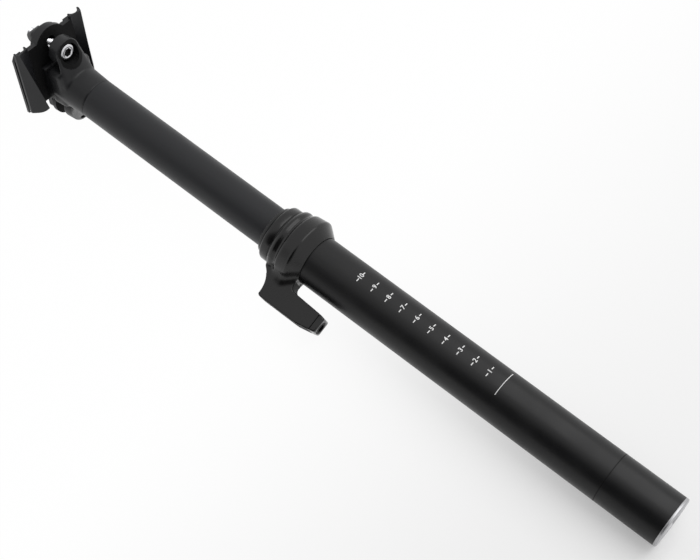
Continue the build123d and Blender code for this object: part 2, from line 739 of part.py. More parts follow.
# Arm cover and its screws, on the arm's far side
with BuildPart() as arm_cover:
    with BuildSketch(arm_plane.offset(arm_thickness / 2 - cover_thickness + seat_fit)):
        with Locations(((cover_inner + cover_outer) / 2, (cover_low + cover_high) / 2)):
            Rectangle(cover_outer - cover_inner - 2 * slide_fit, cover_high - cover_low - 2 * slide_fit)
        with Locations(*screw_spots):
            Circle(cover_screw_od / 2 + seat_fit, mode=Mode.SUBTRACT)
    extrude(amount=cover_thickness - seat_fit)
save(arm_cover.part, "arm_cover")
with BuildPart() as cover_screws:
    with BuildSketch(arm_plane.offset(arm_thickness / 2 - cover_screw_length)):
        with Locations(*screw_spots):
            Circle(cover_screw_od / 2)
    extrude(amount=cover_screw_length + seat_fit)
    with BuildSketch(arm_plane.offset(arm_thickness / 2 + seat_fit)):
        with Locations(*screw_spots):
            Circle(cover_screw_head / 2)
    extrude(amount=cover_screw_rise)
save(cover_screws.part, "cover_screws")

# Stanchion, with the pockets of its guide keys
key_azimuths = [arm_azimuth + 180 / key_count + turn * 360 / key_count for turn in range(key_count)]
key_foot = stanchion_foot + key_lift
key_inner = stanchion_radius - key_depth
key_outer = tube_inner + keyway_depth - 2 * slide_fit
with BuildPart() as stanchion:
    with BuildSketch(Plane.XY.offset(stanchion_foot)):
        Circle(stanchion_radius)
        Circle(stanchion_inner, mode=Mode.SUBTRACT)
    extrude(amount=head_foot - seat_fit - stanchion_foot)
    for azimuth in key_azimuths:
        with BuildSketch(radial_plane(azimuth, key_foot - seat_fit)):
            with Locations((key_inner - seat_fit + overrun, 0)):
                Rectangle(2 * overrun, key_width + 2 * seat_fit)
        extrude(amount=key_length + 2 * seat_fit, mode=Mode.SUBTRACT)
save(stanchion.part, "stanchion")
with BuildPart() as guide_keys:
    for azimuth in key_azimuths:
        with BuildSketch(radial_plane(azimuth, key_foot)):
            with Locations(((key_inner + key_outer) / 2, 0)):
                Rectangle(key_outer - key_inner, key_width)
        extrude(amount=key_length)
save(guide_keys.part, "guide_keys")

# Lower bushing: two half shells that slide in the outer tube and leave room for the pull strip
with BuildPart() as lower_bushing:
    with BuildSketch(radial_plane(arm_azimuth, stanchion_foot + lower_bush_lift)):
        Circle(tube_inner - slide_fit)
        Circle(stanchion_radius + seat_fit, mode=Mode.SUBTRACT)
        Rectangle(2 * post_od, bush_slot, mode=Mode.SUBTRACT)
    extrude(amount=lower_bush_length)
save(lower_bushing.part, "lower_bushing")

# Cartridge: retainer, seal head, tube, floating piston and gas cap
ring("cartridge_retainer", stanchion_inner - seat_fit, retainer_bore / 2, stanchion_foot,
     seal_head_foot - seat_fit)
rod_seal_low = seal_head_foot + (seal_head_length - rod_seal_height) / 2
with BuildPart() as seal_head:
    with BuildSketch(Plane.XY.offset(seal_head_foot)):
        Circle(cartridge_od / 2)
    extrude(amount=seal_head_flange)
    with BuildSketch(Plane.XY.offset(seal_head_foot)):
        Circle(cartridge_bore / 2 - seat_fit)
    extrude(amount=seal_head_length)
    with BuildSketch(Plane.XY.offset(seal_head_foot)):
        Circle(rod_od / 2 + slide_fit)
    extrude(amount=seal_head_length, mode=Mode.SUBTRACT)
    with BuildSketch(Plane.XY.offset(rod_seal_low)):
        Circle(rod_od / 2 + rod_seal_wall)
    extrude(amount=rod_seal_height, mode=Mode.SUBTRACT)
save(seal_head.part, "seal_head")
ring("rod_seal", rod_od / 2 + rod_seal_wall - seat_fit, rod_od / 2 + slide_fit,
     rod_seal_low + seat_fit, rod_seal_low + rod_seal_height - seat_fit)
valve_lift = 2 * rocker_back * tan(rocker_half) + 2 * slide_fit
float_rise = travel * (rod_od / cartridge_bore) ** 2
float_foot = poppet_low + poppet_height + valve_lift + travel + float_margin - float_rise
float_top = float_foot + float_length
ring("cartridge_tube", cartridge_od / 2, cartridge_bore / 2, seal_head_foot + seal_head_flange + seat_fit,
     gas_cap_seat - seat_fit)
float_seal_low = float_foot + (float_length - piston_seal_height) / 2
with BuildPart() as floating_piston:
    with BuildSketch(Plane.XY.offset(float_foot)):
        Circle(piston_radius)
    extrude(amount=float_length)
    with BuildSketch(Plane.XY.offset(float_seal_low)):
        Circle(piston_radius + overrun)
        Circle(piston_radius - piston_seal_depth, mode=Mode.SUBTRACT)
    extrude(amount=piston_seal_height, mode=Mode.SUBTRACT)
    with BuildSketch(Plane.XY.offset(float_top - float_length / 3)):
        Circle(piston_radius / 2)
    extrude(amount=float_length / 3, mode=Mode.SUBTRACT)
save(floating_piston.part, "floating_piston")
ring("floating_seal", cartridge_bore / 2 - slide_fit, piston_radius - piston_seal_depth + seat_fit,
     float_seal_low + seat_fit, float_seal_low + piston_seal_height - seat_fit)
with BuildPart() as gas_cap:
    with BuildSketch(Plane.XY.offset(gas_cap_foot)):
        Circle(cartridge_bore / 2 - seat_fit)
    extrude(amount=gas_cap_length)
    with BuildSketch(Plane.XY.offset(gas_cap_seat)):
        Circle(stanchion_inner - slide_fit)
    extrude(amount=gas_cap_flange)
    with BuildSketch(Plane.XY.offset(gas_cap_foot)):
        Circle(fill_valve_od / 2 + seat_fit)
    extrude(amount=gas_cap_length + gas_cap_flange, mode=Mode.SUBTRACT)
save(gas_cap.part, "gas_cap")
ring("fill_valve", fill_valve_od / 2, fill_valve_od / 6, gas_cap_foot,
     gas_cap_seat + gas_cap_flange + fill_valve_stem)

# Seat head: a forged neck with a pad for the saddle clamp and a boss for each bolt
neck_radius = neck_od / 2
spigot_bore = stanchion_inner - spigot_wall
underhead = -bolt_under
spot_face = underhead + washer_thickness


with BuildPart() as seat_head:
    with BuildSketch(Plane.XZ):
        with BuildLine():
            Polyline((0, head_foot), (stanchion_radius, head_foot), (neck_radius, head_foot + neck_cone),
                     (neck_radius, rail_height), (0, rail_height), close=True)
        make_face()
    revolve(axis=Axis.Z)
    with BuildSketch(Plane.XY.offset(head_foot + neck_blend)):
        Circle(neck_radius - web_inset)
    with BuildSketch(clamp_plane(-pad_top - pad_height, clamp_forward)):
        RectangleRounded(pad_length, pad_width, pad_round)
    loft()
    with BuildSketch(clamp_plane(-pad_top - pad_height, clamp_forward)):
        RectangleRounded(pad_length, pad_width, pad_round)
    extrude(amount=pad_height)
    for bolt_x, web_rise in ((rear_bolt_x, rear_web_rise), (front_bolt_x, front_web_rise)):
        with BuildSketch(Plane.XY.offset(head_foot + web_rise)):
            Circle(neck_radius - web_inset)
        with BuildSketch(clamp_plane(-boss_foot, bolt_x)):
            Circle(boss_od / 2)
        loft()
        with BuildSketch(clamp_plane(-boss_foot, bolt_x)):
            Circle(boss_od / 2)
        extrude(amount=boss_foot - boss_top)
    with BuildSketch(clamp_plane(-pad_top)):
        Rectangle(2 * bolt_spacing, 2 * bolt_spacing)
    extrude(amount=head_rise, mode=Mode.SUBTRACT)
    for bolt_x in (rear_bolt_x, front_bolt_x):
        with BuildSketch(clamp_plane(-boss_top, bolt_x)):
            Circle(boss_od / 2 + free_gap)
        extrude(amount=head_rise, mode=Mode.SUBTRACT)
        with BuildSketch(clamp_plane(-2 * boss_foot, bolt_x)):
            Circle(counterbore_od / 2)
        extrude(amount=2 * boss_foot + spot_face, mode=Mode.SUBTRACT)
        with BuildSketch(clamp_plane(-boss_foot, bolt_x)):
            Circle(bolt_od / 2 + bolt_gap)
        extrude(amount=boss_foot, mode=Mode.SUBTRACT)
    with BuildSketch(side_plane.offset(-pad_width)):
        with Locations((clamp_forward, pivot_rise)):
            Circle(trough_radius)
    extrude(amount=2 * pad_width, mode=Mode.SUBTRACT)
    with BuildSketch(Plane.XY.offset(spigot_foot)):
        Circle(stanchion_inner - seat_fit)
    extrude(amount=head_foot - spigot_foot)
    with BuildSketch(Plane.XY.offset(spigot_foot)):
        Circle(spigot_bore)
    extrude(amount=head_foot + neck_cone - spigot_foot, mode=Mode.SUBTRACT)
save(seat_head.part, "seat_head")

# Clamp bolts and their washers, each node a front and a rear solid
with BuildPart() as clamp_bolts:
    for bolt_x in (rear_bolt_x, front_bolt_x):
        with BuildSketch(clamp_plane(underhead - bolt_head_height, bolt_x)):
            Circle(bolt_head_od / 2)
        extrude(amount=bolt_head_height)
        with BuildSketch(clamp_plane(underhead, bolt_x)):
            Circle(bolt_od / 2)
        extrude(amount=bolt_length)
        with BuildSketch(clamp_plane(underhead - bolt_head_height, bolt_x)):
            RegularPolygon(bolt_socket / 2, 6, major_radius=False)
        extrude(amount=bolt_socket_depth, mode=Mode.SUBTRACT)
    head_rims = clamp_bolts.edges().filter_by(GeomType.CIRCLE).filter_by(
        lambda edge: abs(edge.radius - bolt_head_od / 2) < bolt_edge / 2)
    chamfer(head_rims, length=bolt_edge)
save(clamp_bolts.part, "clamp_bolts")
with BuildPart() as bolt_washers:
    for bolt_x in (rear_bolt_x, front_bolt_x):
        with BuildSketch(clamp_plane(underhead + seat_fit, bolt_x)):
            Circle(counterbore_od / 2 - slide_fit)
            Circle(bolt_od / 2 + seat_fit, mode=Mode.SUBTRACT)
        extrude(amount=washer_thickness - 2 * seat_fit)
save(bolt_washers.part, "bolt_washers")

# Saddle clamp: the cradle tilts in the head's trough and the upper clamp closes on the rails
wing_middle = rail_spacing / 2
wing_inner = wing_middle - wing_width / 2
wing_outer = wing_middle + wing_width / 2
jaw = jaw_gap / 2
swing = radians(clamp_swing)
cradle_rear = clamp_forward - cradle_setback - cradle_length / 2
cradle_front = cradle_rear + cradle_length
slot_width = bolt_od + 2 * thread_gap


def rail_plane(forward):
    """Plane square to the rails, at a distance along them, with +Y first and up second."""
    return Plane(origin=clamp_origin + rail_dir * forward, x_dir=(0, 1, 0), z_dir=rail_dir)


def wing_outline(side, depth, keel):
    """Cross-section of a cradle wing: its lowest point, the keel, lies a distance inside the outer edge."""
    return [(side * wing_inner, -jaw), (side * wing_outer, -jaw), (side * wing_outer, -jaw - wing_edge),
            (side * (wing_outer - keel), -depth), (side * wing_inner, -jaw - bridge_thickness)]


with BuildPart() as lower_cradle:
    with BuildSketch(side_plane.offset(-block_width / 2)):
        with Locations((clamp_forward, pivot_rise)):
            Circle(trough_radius - slide_fit)
        with Locations((clamp_forward, -jaw - trough_radius / 2)):
            Rectangle(block_length, trough_radius, mode=Mode.INTERSECT)
    extrude(amount=block_width)
    with BuildSketch(clamp_plane(-jaw - bridge_thickness)):
        with Locations(((cradle_rear + cradle_front) / 2, 0)):
            Rectangle(cradle_length - 2 * bridge_inset, 2 * (wing_inner + bridge_lap))
        with Locations((rear_bolt_x, 0)):
            Circle(bridge_rear_round / 2)
        with Locations((front_bolt_x, 0)):
            Circle(bridge_front_round / 2)
    extrude(amount=bridge_thickness)
    for side in (1, -1):
        with BuildSketch(rail_plane(cradle_rear)):
            with BuildLine():
                Polyline(*wing_outline(side, wing_rear_depth, wing_rear_keel), close=True)
            make_face()
        with BuildSketch(rail_plane(cradle_front)):
            with BuildLine():
                Polyline(*wing_outline(side, wing_front_depth, wing_front_keel), close=True)
            make_face()
        loft(ruled=True)
    with BuildSketch(side_plane.offset(-wing_outer)):
        with Locations((cradle_front - wing_round / 2, wing_round / 2 - wing_front_depth)):
            Rectangle(wing_round, wing_round)
        with Locations((cradle_front - wing_round, wing_round - wing_front_depth)):
            Circle(wing_round, mode=Mode.SUBTRACT)
    extrude(amount=2 * wing_outer, mode=Mode.SUBTRACT)
    with BuildSketch(rail_plane(cradle_rear - overrun)):
        with Locations((wing_middle, 0), (-wing_middle, 0)):
            Circle(rail_od / 2)
    extrude(amount=cradle_length + 2 * overrun, mode=Mode.SUBTRACT)
    with BuildSketch(clamp_plane(-trough_radius)):
        with Locations((rear_bolt_x, 0), (front_bolt_x, 0)):
            SlotCenterToCenter(2 * ((pivot_rise + jaw + bridge_thickness) * sin(swing) + free_gap), slot_width)
    extrude(amount=trough_radius, mode=Mode.SUBTRACT)
save(lower_cradle.part, "lower_cradle")

upper_rear = clamp_forward - upper_setback - upper_length / 2
with BuildPart() as upper_clamp:
    with BuildSketch(rail_plane(upper_rear)):
        for side in (1, -1):
            with BuildLine():
                Polyline((side * wing_inner, jaw), (side * wing_outer, jaw), (side * wing_outer, upper_wing_edge),
                         (side * (wing_outer - upper_wing_slope), upper_wing_height),
                         (side * wing_inner, upper_wing_height), close=True)
            make_face()
    extrude(amount=upper_length)
    with BuildSketch(clamp_plane(upper_bridge_low)):
        with Locations((upper_rear + upper_length / 2, 0)):
            Rectangle(upper_length - 2 * bridge_inset, 2 * (wing_inner + bridge_lap))
        with Locations((clamp_forward, 0)):
            RectangleRounded(bolt_spacing + nut_od + 2 * nut_seat_wall, nut_length + 2 * nut_seat_wall, nut_seat_wall)
    extrude(amount=upper_bridge_thickness)
    with BuildSketch(side_plane.offset(-nut_length / 2 - free_gap)):
        with Locations((rear_bolt_x, nut_rise), (front_bolt_x, nut_rise)):
            Circle(nut_od / 2 + slide_fit)
    extrude(amount=nut_length + 2 * free_gap, mode=Mode.SUBTRACT)
    with BuildSketch(rail_plane(upper_rear - overrun)):
        with Locations((wing_middle, 0), (-wing_middle, 0)):
            Circle(rail_od / 2)
    extrude(amount=upper_length + 2 * overrun, mode=Mode.SUBTRACT)
    with BuildSketch(clamp_plane(0)):
        with Locations((rear_bolt_x, 0), (front_bolt_x, 0)):
            SlotCenterToCenter(2 * ((pivot_rise - upper_bridge_low) * sin(swing) + free_gap), slot_width)
    extrude(amount=nut_rise, mode=Mode.SUBTRACT)
save(upper_clamp.part, "upper_clamp")

# Barrel nuts, each free to turn in its seat
for bolt_x, name in ((rear_bolt_x, "rear_nut"), (front_bolt_x, "front_nut")):
    with BuildPart() as nut:
        with BuildSketch(side_plane.offset(-nut_length / 2)):
            with Locations((bolt_x, nut_rise)):
                Circle(nut_od / 2)
        extrude(amount=nut_length)
        with BuildSketch(clamp_plane(0, bolt_x)):
            Circle(bolt_od / 2 + thread_gap)
        extrude(amount=2 * nut_rise, mode=Mode.SUBTRACT)
    save(nut.part, name)
print(f"pivot at {pivot.X:.3f}, {pivot.Y:.3f}, {pivot.Z:.3f}")
print(f"strip travel {strip_travel:.4f}, rocker swing {rocker_swing:.4f} degrees, valve lift {valve_lift:.4f}")
print(f"floating piston rise {float_rise:.4f}")
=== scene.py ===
"""Looks of a dropper seatpost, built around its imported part. Lengths are in millimetres unless said."""

import json
import logging
from contextlib import contextmanager
from dataclasses import dataclass, field
from enum import Enum
from math import atan2, cos, pi, radians, sin, sqrt
from typing import Callable, Iterable, Iterator, Sequence

import bpy
from mathutils import Matrix, Vector


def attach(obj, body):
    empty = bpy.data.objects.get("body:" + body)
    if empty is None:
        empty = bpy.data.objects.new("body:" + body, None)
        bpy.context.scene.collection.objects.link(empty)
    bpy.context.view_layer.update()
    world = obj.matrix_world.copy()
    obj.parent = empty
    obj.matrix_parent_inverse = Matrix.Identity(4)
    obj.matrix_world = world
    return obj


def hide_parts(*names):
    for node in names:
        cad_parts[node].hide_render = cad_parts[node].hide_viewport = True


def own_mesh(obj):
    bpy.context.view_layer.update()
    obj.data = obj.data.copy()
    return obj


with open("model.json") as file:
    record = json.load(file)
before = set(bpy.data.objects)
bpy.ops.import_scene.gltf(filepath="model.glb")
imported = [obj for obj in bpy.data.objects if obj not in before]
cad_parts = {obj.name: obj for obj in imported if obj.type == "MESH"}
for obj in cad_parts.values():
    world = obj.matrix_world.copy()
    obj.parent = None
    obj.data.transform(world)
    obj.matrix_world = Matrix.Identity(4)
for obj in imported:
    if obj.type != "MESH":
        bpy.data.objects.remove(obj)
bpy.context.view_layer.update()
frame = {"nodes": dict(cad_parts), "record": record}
log = logging.getLogger("seatpost")

Piece = bpy.types.Object
Face = bpy.types.MeshPolygon
Point = tuple[float, float]

MM = 0.001
MERGE = 1e-6
IMAGE_WIDTH = 700
SENSOR_WIDTH = 36.0
WHITE = (1.0, 1.0, 1.0, 1.0)
RAIL_HEIGHT = 451.5
ARM_AZIMUTH = radians(65.0)
ARM_OUT = Vector((cos(ARM_AZIMUTH), sin(ARM_AZIMUTH), 0))
ARM_SIDE = Vector((sin(ARM_AZIMUTH), -cos(ARM_AZIMUTH), 0))
CLAMP_TILT = radians(12.0)
CLAMP_AHEAD = Vector((cos(CLAMP_TILT), 0, -sin(CLAMP_TILT)))
CLAMP_UP = Vector((sin(CLAMP_TILT), 0, cos(CLAMP_TILT)))


class Grain(Enum):
    """Fine structure of a finish."""

    SATIN = "satin"
    TURNED = "turned"
    DRAWN = "drawn"
    MOULDED = "moulded"


GRAIN_STRETCH: dict[Grain, Point] = {Grain.DRAWN: (1.0, 0.12), Grain.TURNED: (0.3, 1.0)}


@dataclass(frozen=True)
class Finish:
    """A surface finish: its colour, gloss and fine structure."""

    name: str
    slot: str
    colour: tuple[float, float, float]
    roughness: float
    metallic: float = 0.0
    coat: float = 0.0
    specular: float = 0.5
    grain: Grain = Grain.SATIN
    grain_scale: float = 900.0
    grain_depth: float = 0.15
    smudge: float = 0.08


class Finishes(Enum):
    """Every finish of the seatpost. The first of a slot is the one that its CAD nodes take."""

    POST = Finish("post_anodised", "post", (0.0045, 0.0045, 0.0050), 0.34,
                  specular=0.30, grain=Grain.DRAWN)
    STANCHION = Finish("stanchion_anodised", "stanchion", (0.010, 0.0105, 0.0125), 0.38,
                       specular=0.34, grain=Grain.DRAWN)
    COLLAR = Finish("collar_gloss", "collar", (0.0046, 0.0044, 0.0046), 0.20,
                    coat=0.12, specular=0.34, grain_scale=700.0, grain_depth=0.03)
    HEAD = Finish("head_satin", "head", (0.0085, 0.0088, 0.0100), 0.37,
                  specular=0.33, grain_scale=1400.0, grain_depth=0.10)
    ALLOY = Finish("turned_alloy", "bare_alloy", (0.60, 0.60, 0.61), 0.30, 1.0, grain=Grain.TURNED)
    STEEL = Finish("ground_steel", "steel", (0.45, 0.45, 0.47), 0.34, 1.0, grain=Grain.TURNED)
    NUT = Finish("black_zinc", "nut", (0.012, 0.012, 0.013), 0.34, specular=0.4)
    CHROME = Finish("bolt_chrome", "chrome", (0.66, 0.66, 0.68), 0.14, 1.0,
                    grain=Grain.TURNED, grain_scale=500.0, grain_depth=0.05)
    BRASS = Finish("turned_brass", "brass", (0.62, 0.42, 0.16), 0.32, 1.0, grain=Grain.TURNED)
    RUBBER = Finish("wiper_rubber", "rubber", (0.006, 0.006, 0.006), 0.60,
                    specular=0.3, grain=Grain.MOULDED, grain_scale=1100.0, grain_depth=0.3)
    BUSH = Finish("slide_polymer", "bush", (0.05, 0.05, 0.055), 0.55,
                  specular=0.4, grain=Grain.MOULDED)
    # Dark matt paint, used as painted shade in recesses, undersides, counterbores, the cap's inner lip and the cable
    # stop; the bottom cap's seam line takes it as a real dark joint.
    SHADE = Finish("painted_shade_and_seam", "collar", (0.0060, 0.0060, 0.0062), 0.50,
                   specular=0.09, grain=Grain.MOULDED, grain_depth=0.2)
    # Bare turned alloy of the end plug; on the wiper cap's rim the same finish is a painted highlight.
    PLUG = Finish("plug_alloy_and_rim_highlight", "bare_alloy", (0.44, 0.44, 0.45), 0.36, 1.0, grain=Grain.TURNED)
    # Dark paint in the bolts' hex sockets, as painted shade.
    SOCKET = Finish("painted_socket_shade", "chrome", (0.02, 0.02, 0.021), 0.42, 0.3,
                    specular=0.4, grain=Grain.TURNED, grain_scale=500.0, grain_depth=0.05)
    PRINT = Finish("pad_print", "post", (0.92, 0.92, 0.92), 0.50,
                   specular=0.4, grain=Grain.MOULDED, grain_scale=2200.0, grain_depth=0.1)


CAD_FINISHES: dict[str, Finishes] = {finish.value.slot: finish for finish in reversed(Finishes)}


class Graph:
    """A node tree, with short calls that add and wire its nodes."""

    def __init__(self, tree: bpy.types.NodeTree) -> None:
        """Takes the tree that the nodes go into."""
        self.tree = tree

    @staticmethod
    def fill(node: bpy.types.Node, values: dict) -> None:
        """Sets a node's inputs, each by its name or place."""
        for socket, value in values.items():
            node.inputs[socket].default_value = value

    def add(self, kind: str, values: dict | None = None, **settings: object) -> bpy.types.Node:
        """Adds a node.

        Args:
            kind: The shader node's type.
            values: A value for each input, by its name or place.
            **settings: The node's own settings.

        Returns:
            The node.
        """
        node = self.tree.nodes.new(f"ShaderNode{kind}")
        for name, value in settings.items():
            setattr(node, name, value)
        self.fill(node, values or {})
        return node

    def ramp(self, source: Point, target: Point = (0.0, 1.0), smooth: bool = False) -> bpy.types.Node:
        """Adds a node that maps one range of values to another, with gentle ends if it is smooth."""
        ends = dict(zip(("From Min", "From Max", "To Min", "To Max"), (*source, *target)))
        return self.add("MapRange", ends, interpolation_type="SMOOTHSTEP" if smooth else "LINEAR")

    def wire(self, *links: tuple) -> None:
        """Wires nodes: each link names its source and output, then its target and input."""
        for source, output, target, socket in links:
            self.tree.links.new(source.outputs[output], target.inputs[socket])


def wear_group() -> bpy.types.NodeTree:
    """Node group that breaks up a finish with fine grain and faint smudges.

    Returns:
        The group, with outputs Color, Roughness and Height.
    """
    group = bpy.data.node_groups.get("finish_break_up")
    if group is not None:
        return group
    group = bpy.data.node_groups.new("finish_break_up", "ShaderNodeTree")
    sockets = (("Color", "Color", (0.5, 0.5, 0.5, 1.0)), ("Roughness", "Float", 0.4),
               ("Grain Scale", "Float", 900.0), ("Across", "Float", 1.0), ("Along", "Float", 1.0),
               ("Smudge", "Float", 0.1))
    for name, kind, value in sockets:
        socket = group.interface.new_socket(name=name, in_out="INPUT", socket_type=f"NodeSocket{kind}")
        socket.default_value = value
    for name, kind in (("Color", "Color"), ("Roughness", "Float"), ("Height", "Float")):
        group.interface.new_socket(name=name, in_out="OUTPUT", socket_type=f"NodeSocket{kind}")
    graph = Graph(group)
    given = group.nodes.new("NodeGroupInput")
    out = group.nodes.new("NodeGroupOutput")
    place = graph.add("TexCoord")
    stretch = graph.add("CombineXYZ")
    scaled = graph.add("VectorMath", operation="MULTIPLY")
    grain = graph.add("TexNoise", {"Detail": 3.0})
    smudge = graph.add("TexNoise", {"Scale": 38.0, "Detail": 5.0})
    spread = graph.ramp((0.35, 0.7), (-0.5, 1.0))
    smudged = graph.add("Math", operation="MULTIPLY_ADD")
    grained = graph.add("Math", {1: 0.06}, operation="MULTIPLY_ADD")
    shade = graph.ramp((0.0, 1.0), (0.82, 1.18))
    tint = graph.add("VectorMath", operation="SCALE")
    graph.wire(
        (given, "Across", stretch, "X"), (given, "Across", stretch, "Y"), (given, "Along", stretch, "Z"),
        (place, "Object", scaled, 0), (stretch, "Vector", scaled, 1),
        (scaled, "Vector", grain, "Vector"), (given, "Grain Scale", grain, "Scale"),
        (place, "Object", smudge, "Vector"), (smudge, "Fac", spread, "Value"),
        (spread, "Result", smudged, 0), (given, "Smudge", smudged, 1), (given, "Roughness", smudged, 2),
        (grain, "Fac", grained, 0), (smudged, "Value", grained, 2),
        (grain, "Fac", shade, "Value"), (given, "Color", tint, 0), (shade, "Result", tint, "Scale"),
        (tint, "Vector", out, "Color"), (grained, "Value", out, "Roughness"), (grain, "Fac", out, "Height"))
    return group


def material_for(finishes: Finishes) -> bpy.types.Material:
    """Material of a finish, made once.

    Args:
        finishes: The finish to make.

    Returns:
        The material, named after the finish.
    """
    finish = finishes.value
    made = bpy.data.materials.get(finish.name)
    if made is not None:
        return made
    made = bpy.data.materials.new(finish.name)
    made.use_nodes = True
    graph = Graph(made.node_tree)
    shader = made.node_tree.nodes["Principled BSDF"]
    graph.fill(shader, {"Metallic": finish.metallic, "Specular IOR Level": finish.specular,
                        "Coat Weight": finish.coat, "Coat Roughness": 0.08})
    across, along = GRAIN_STRETCH.get(finish.grain, (1.0, 1.0))
    wear = graph.add("Group", {
        "Color": (*finish.colour, 1.0), "Roughness": finish.roughness, "Grain Scale": finish.grain_scale,
        "Smudge": finish.smudge, "Across": across, "Along": along}, node_tree=wear_group())
    bump = graph.add("Bump", {"Strength": finish.grain_depth, "Distance": 0.02 * MM})
    graph.wire((wear, "Color", shader, "Base Color"), (wear, "Roughness", shader, "Roughness"),
               (wear, "Height", bump, "Height"), (bump, "Normal", shader, "Normal"))
    return made


def dress(piece: Piece, finishes: Sequence[Finishes], choose: Callable[[Face], int] | None = None) -> None:
    """Gives a piece its finishes.

    Args:
        piece: The piece.
        finishes: The finishes it bears.
        choose: Place in that row of each face's finish; without it, all faces take the first.
    """
    piece.data.materials.clear()
    for finish in finishes:
        piece.data.materials.append(material_for(finish))
    if choose:
        for face in piece.data.polygons:
            face.material_index = int(choose(face))


def dress_nodes() -> None:
    """Gives every CAD node the finish of its material slot."""
    slots = {row["node"]: row["material_slot"] for row in frame["record"]["subparts"]}
    for name, node in frame["nodes"].items():
        dress(node, [CAD_FINISHES[slots[name]]])
        log.info("%s dressed as %s", name, slots[name])


def mount_piece(piece: Piece, body: str, finishes: Finishes, *nodes: str) -> None:
    """Dresses a finished piece, lets it ride on its body and stand for its CAD nodes.

    Args:
        piece: The piece.
        body: The body that it moves with.
        finishes: Its finish, unless it is dressed already.
        *nodes: The CAD nodes that it stands for.
    """
    if not piece.data.materials:
        dress(piece, [finishes])
    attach(piece, body)
    if nodes:
        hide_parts(*nodes)
    log.info("%s: %d faces on %s", piece.name, len(piece.data.polygons), body)


def facing(place: Vector, normal: Vector) -> Matrix:
    """Plane at a place in metres, turned to a normal."""
    return Matrix.Translation(place) @ normal.to_track_quat("Z", "Y").to_matrix().to_4x4()


def plane(place: Vector, *directions: Vector) -> Matrix:
    """Plane at a place in metres, with its three directions."""
    return Matrix.Translation(place) @ Matrix(directions).transposed().to_4x4()


def arm_frame(depth: float = 0.0) -> Matrix:
    """Plane of the cable arm, at a depth off its middle: first direction out along it, second up the post."""
    return plane(ARM_SIDE * depth * MM, ARM_OUT, Vector((0, 0, 1)), ARM_SIDE)


def clamp_frame(forward: float = 0.0, height: float = 0.0) -> Matrix:
    """Plane of the clamp at a place seen from the rails: first direction ahead, third up along the bolts."""
    place = Vector((0, 0, RAIL_HEIGHT * MM)) + (CLAMP_AHEAD * forward + CLAMP_UP * height) * MM
    return plane(place, CLAMP_AHEAD, Vector((0, 1, 0)), CLAMP_UP)


def clamp_view(face: Face) -> tuple[Vector, float]:
    """Place of a face in the clamp's plane and how far it faces down the bolts, -1 to 1."""
    return clamp_frame().inverted() @ face.center / MM, -face.normal.dot(CLAMP_UP)


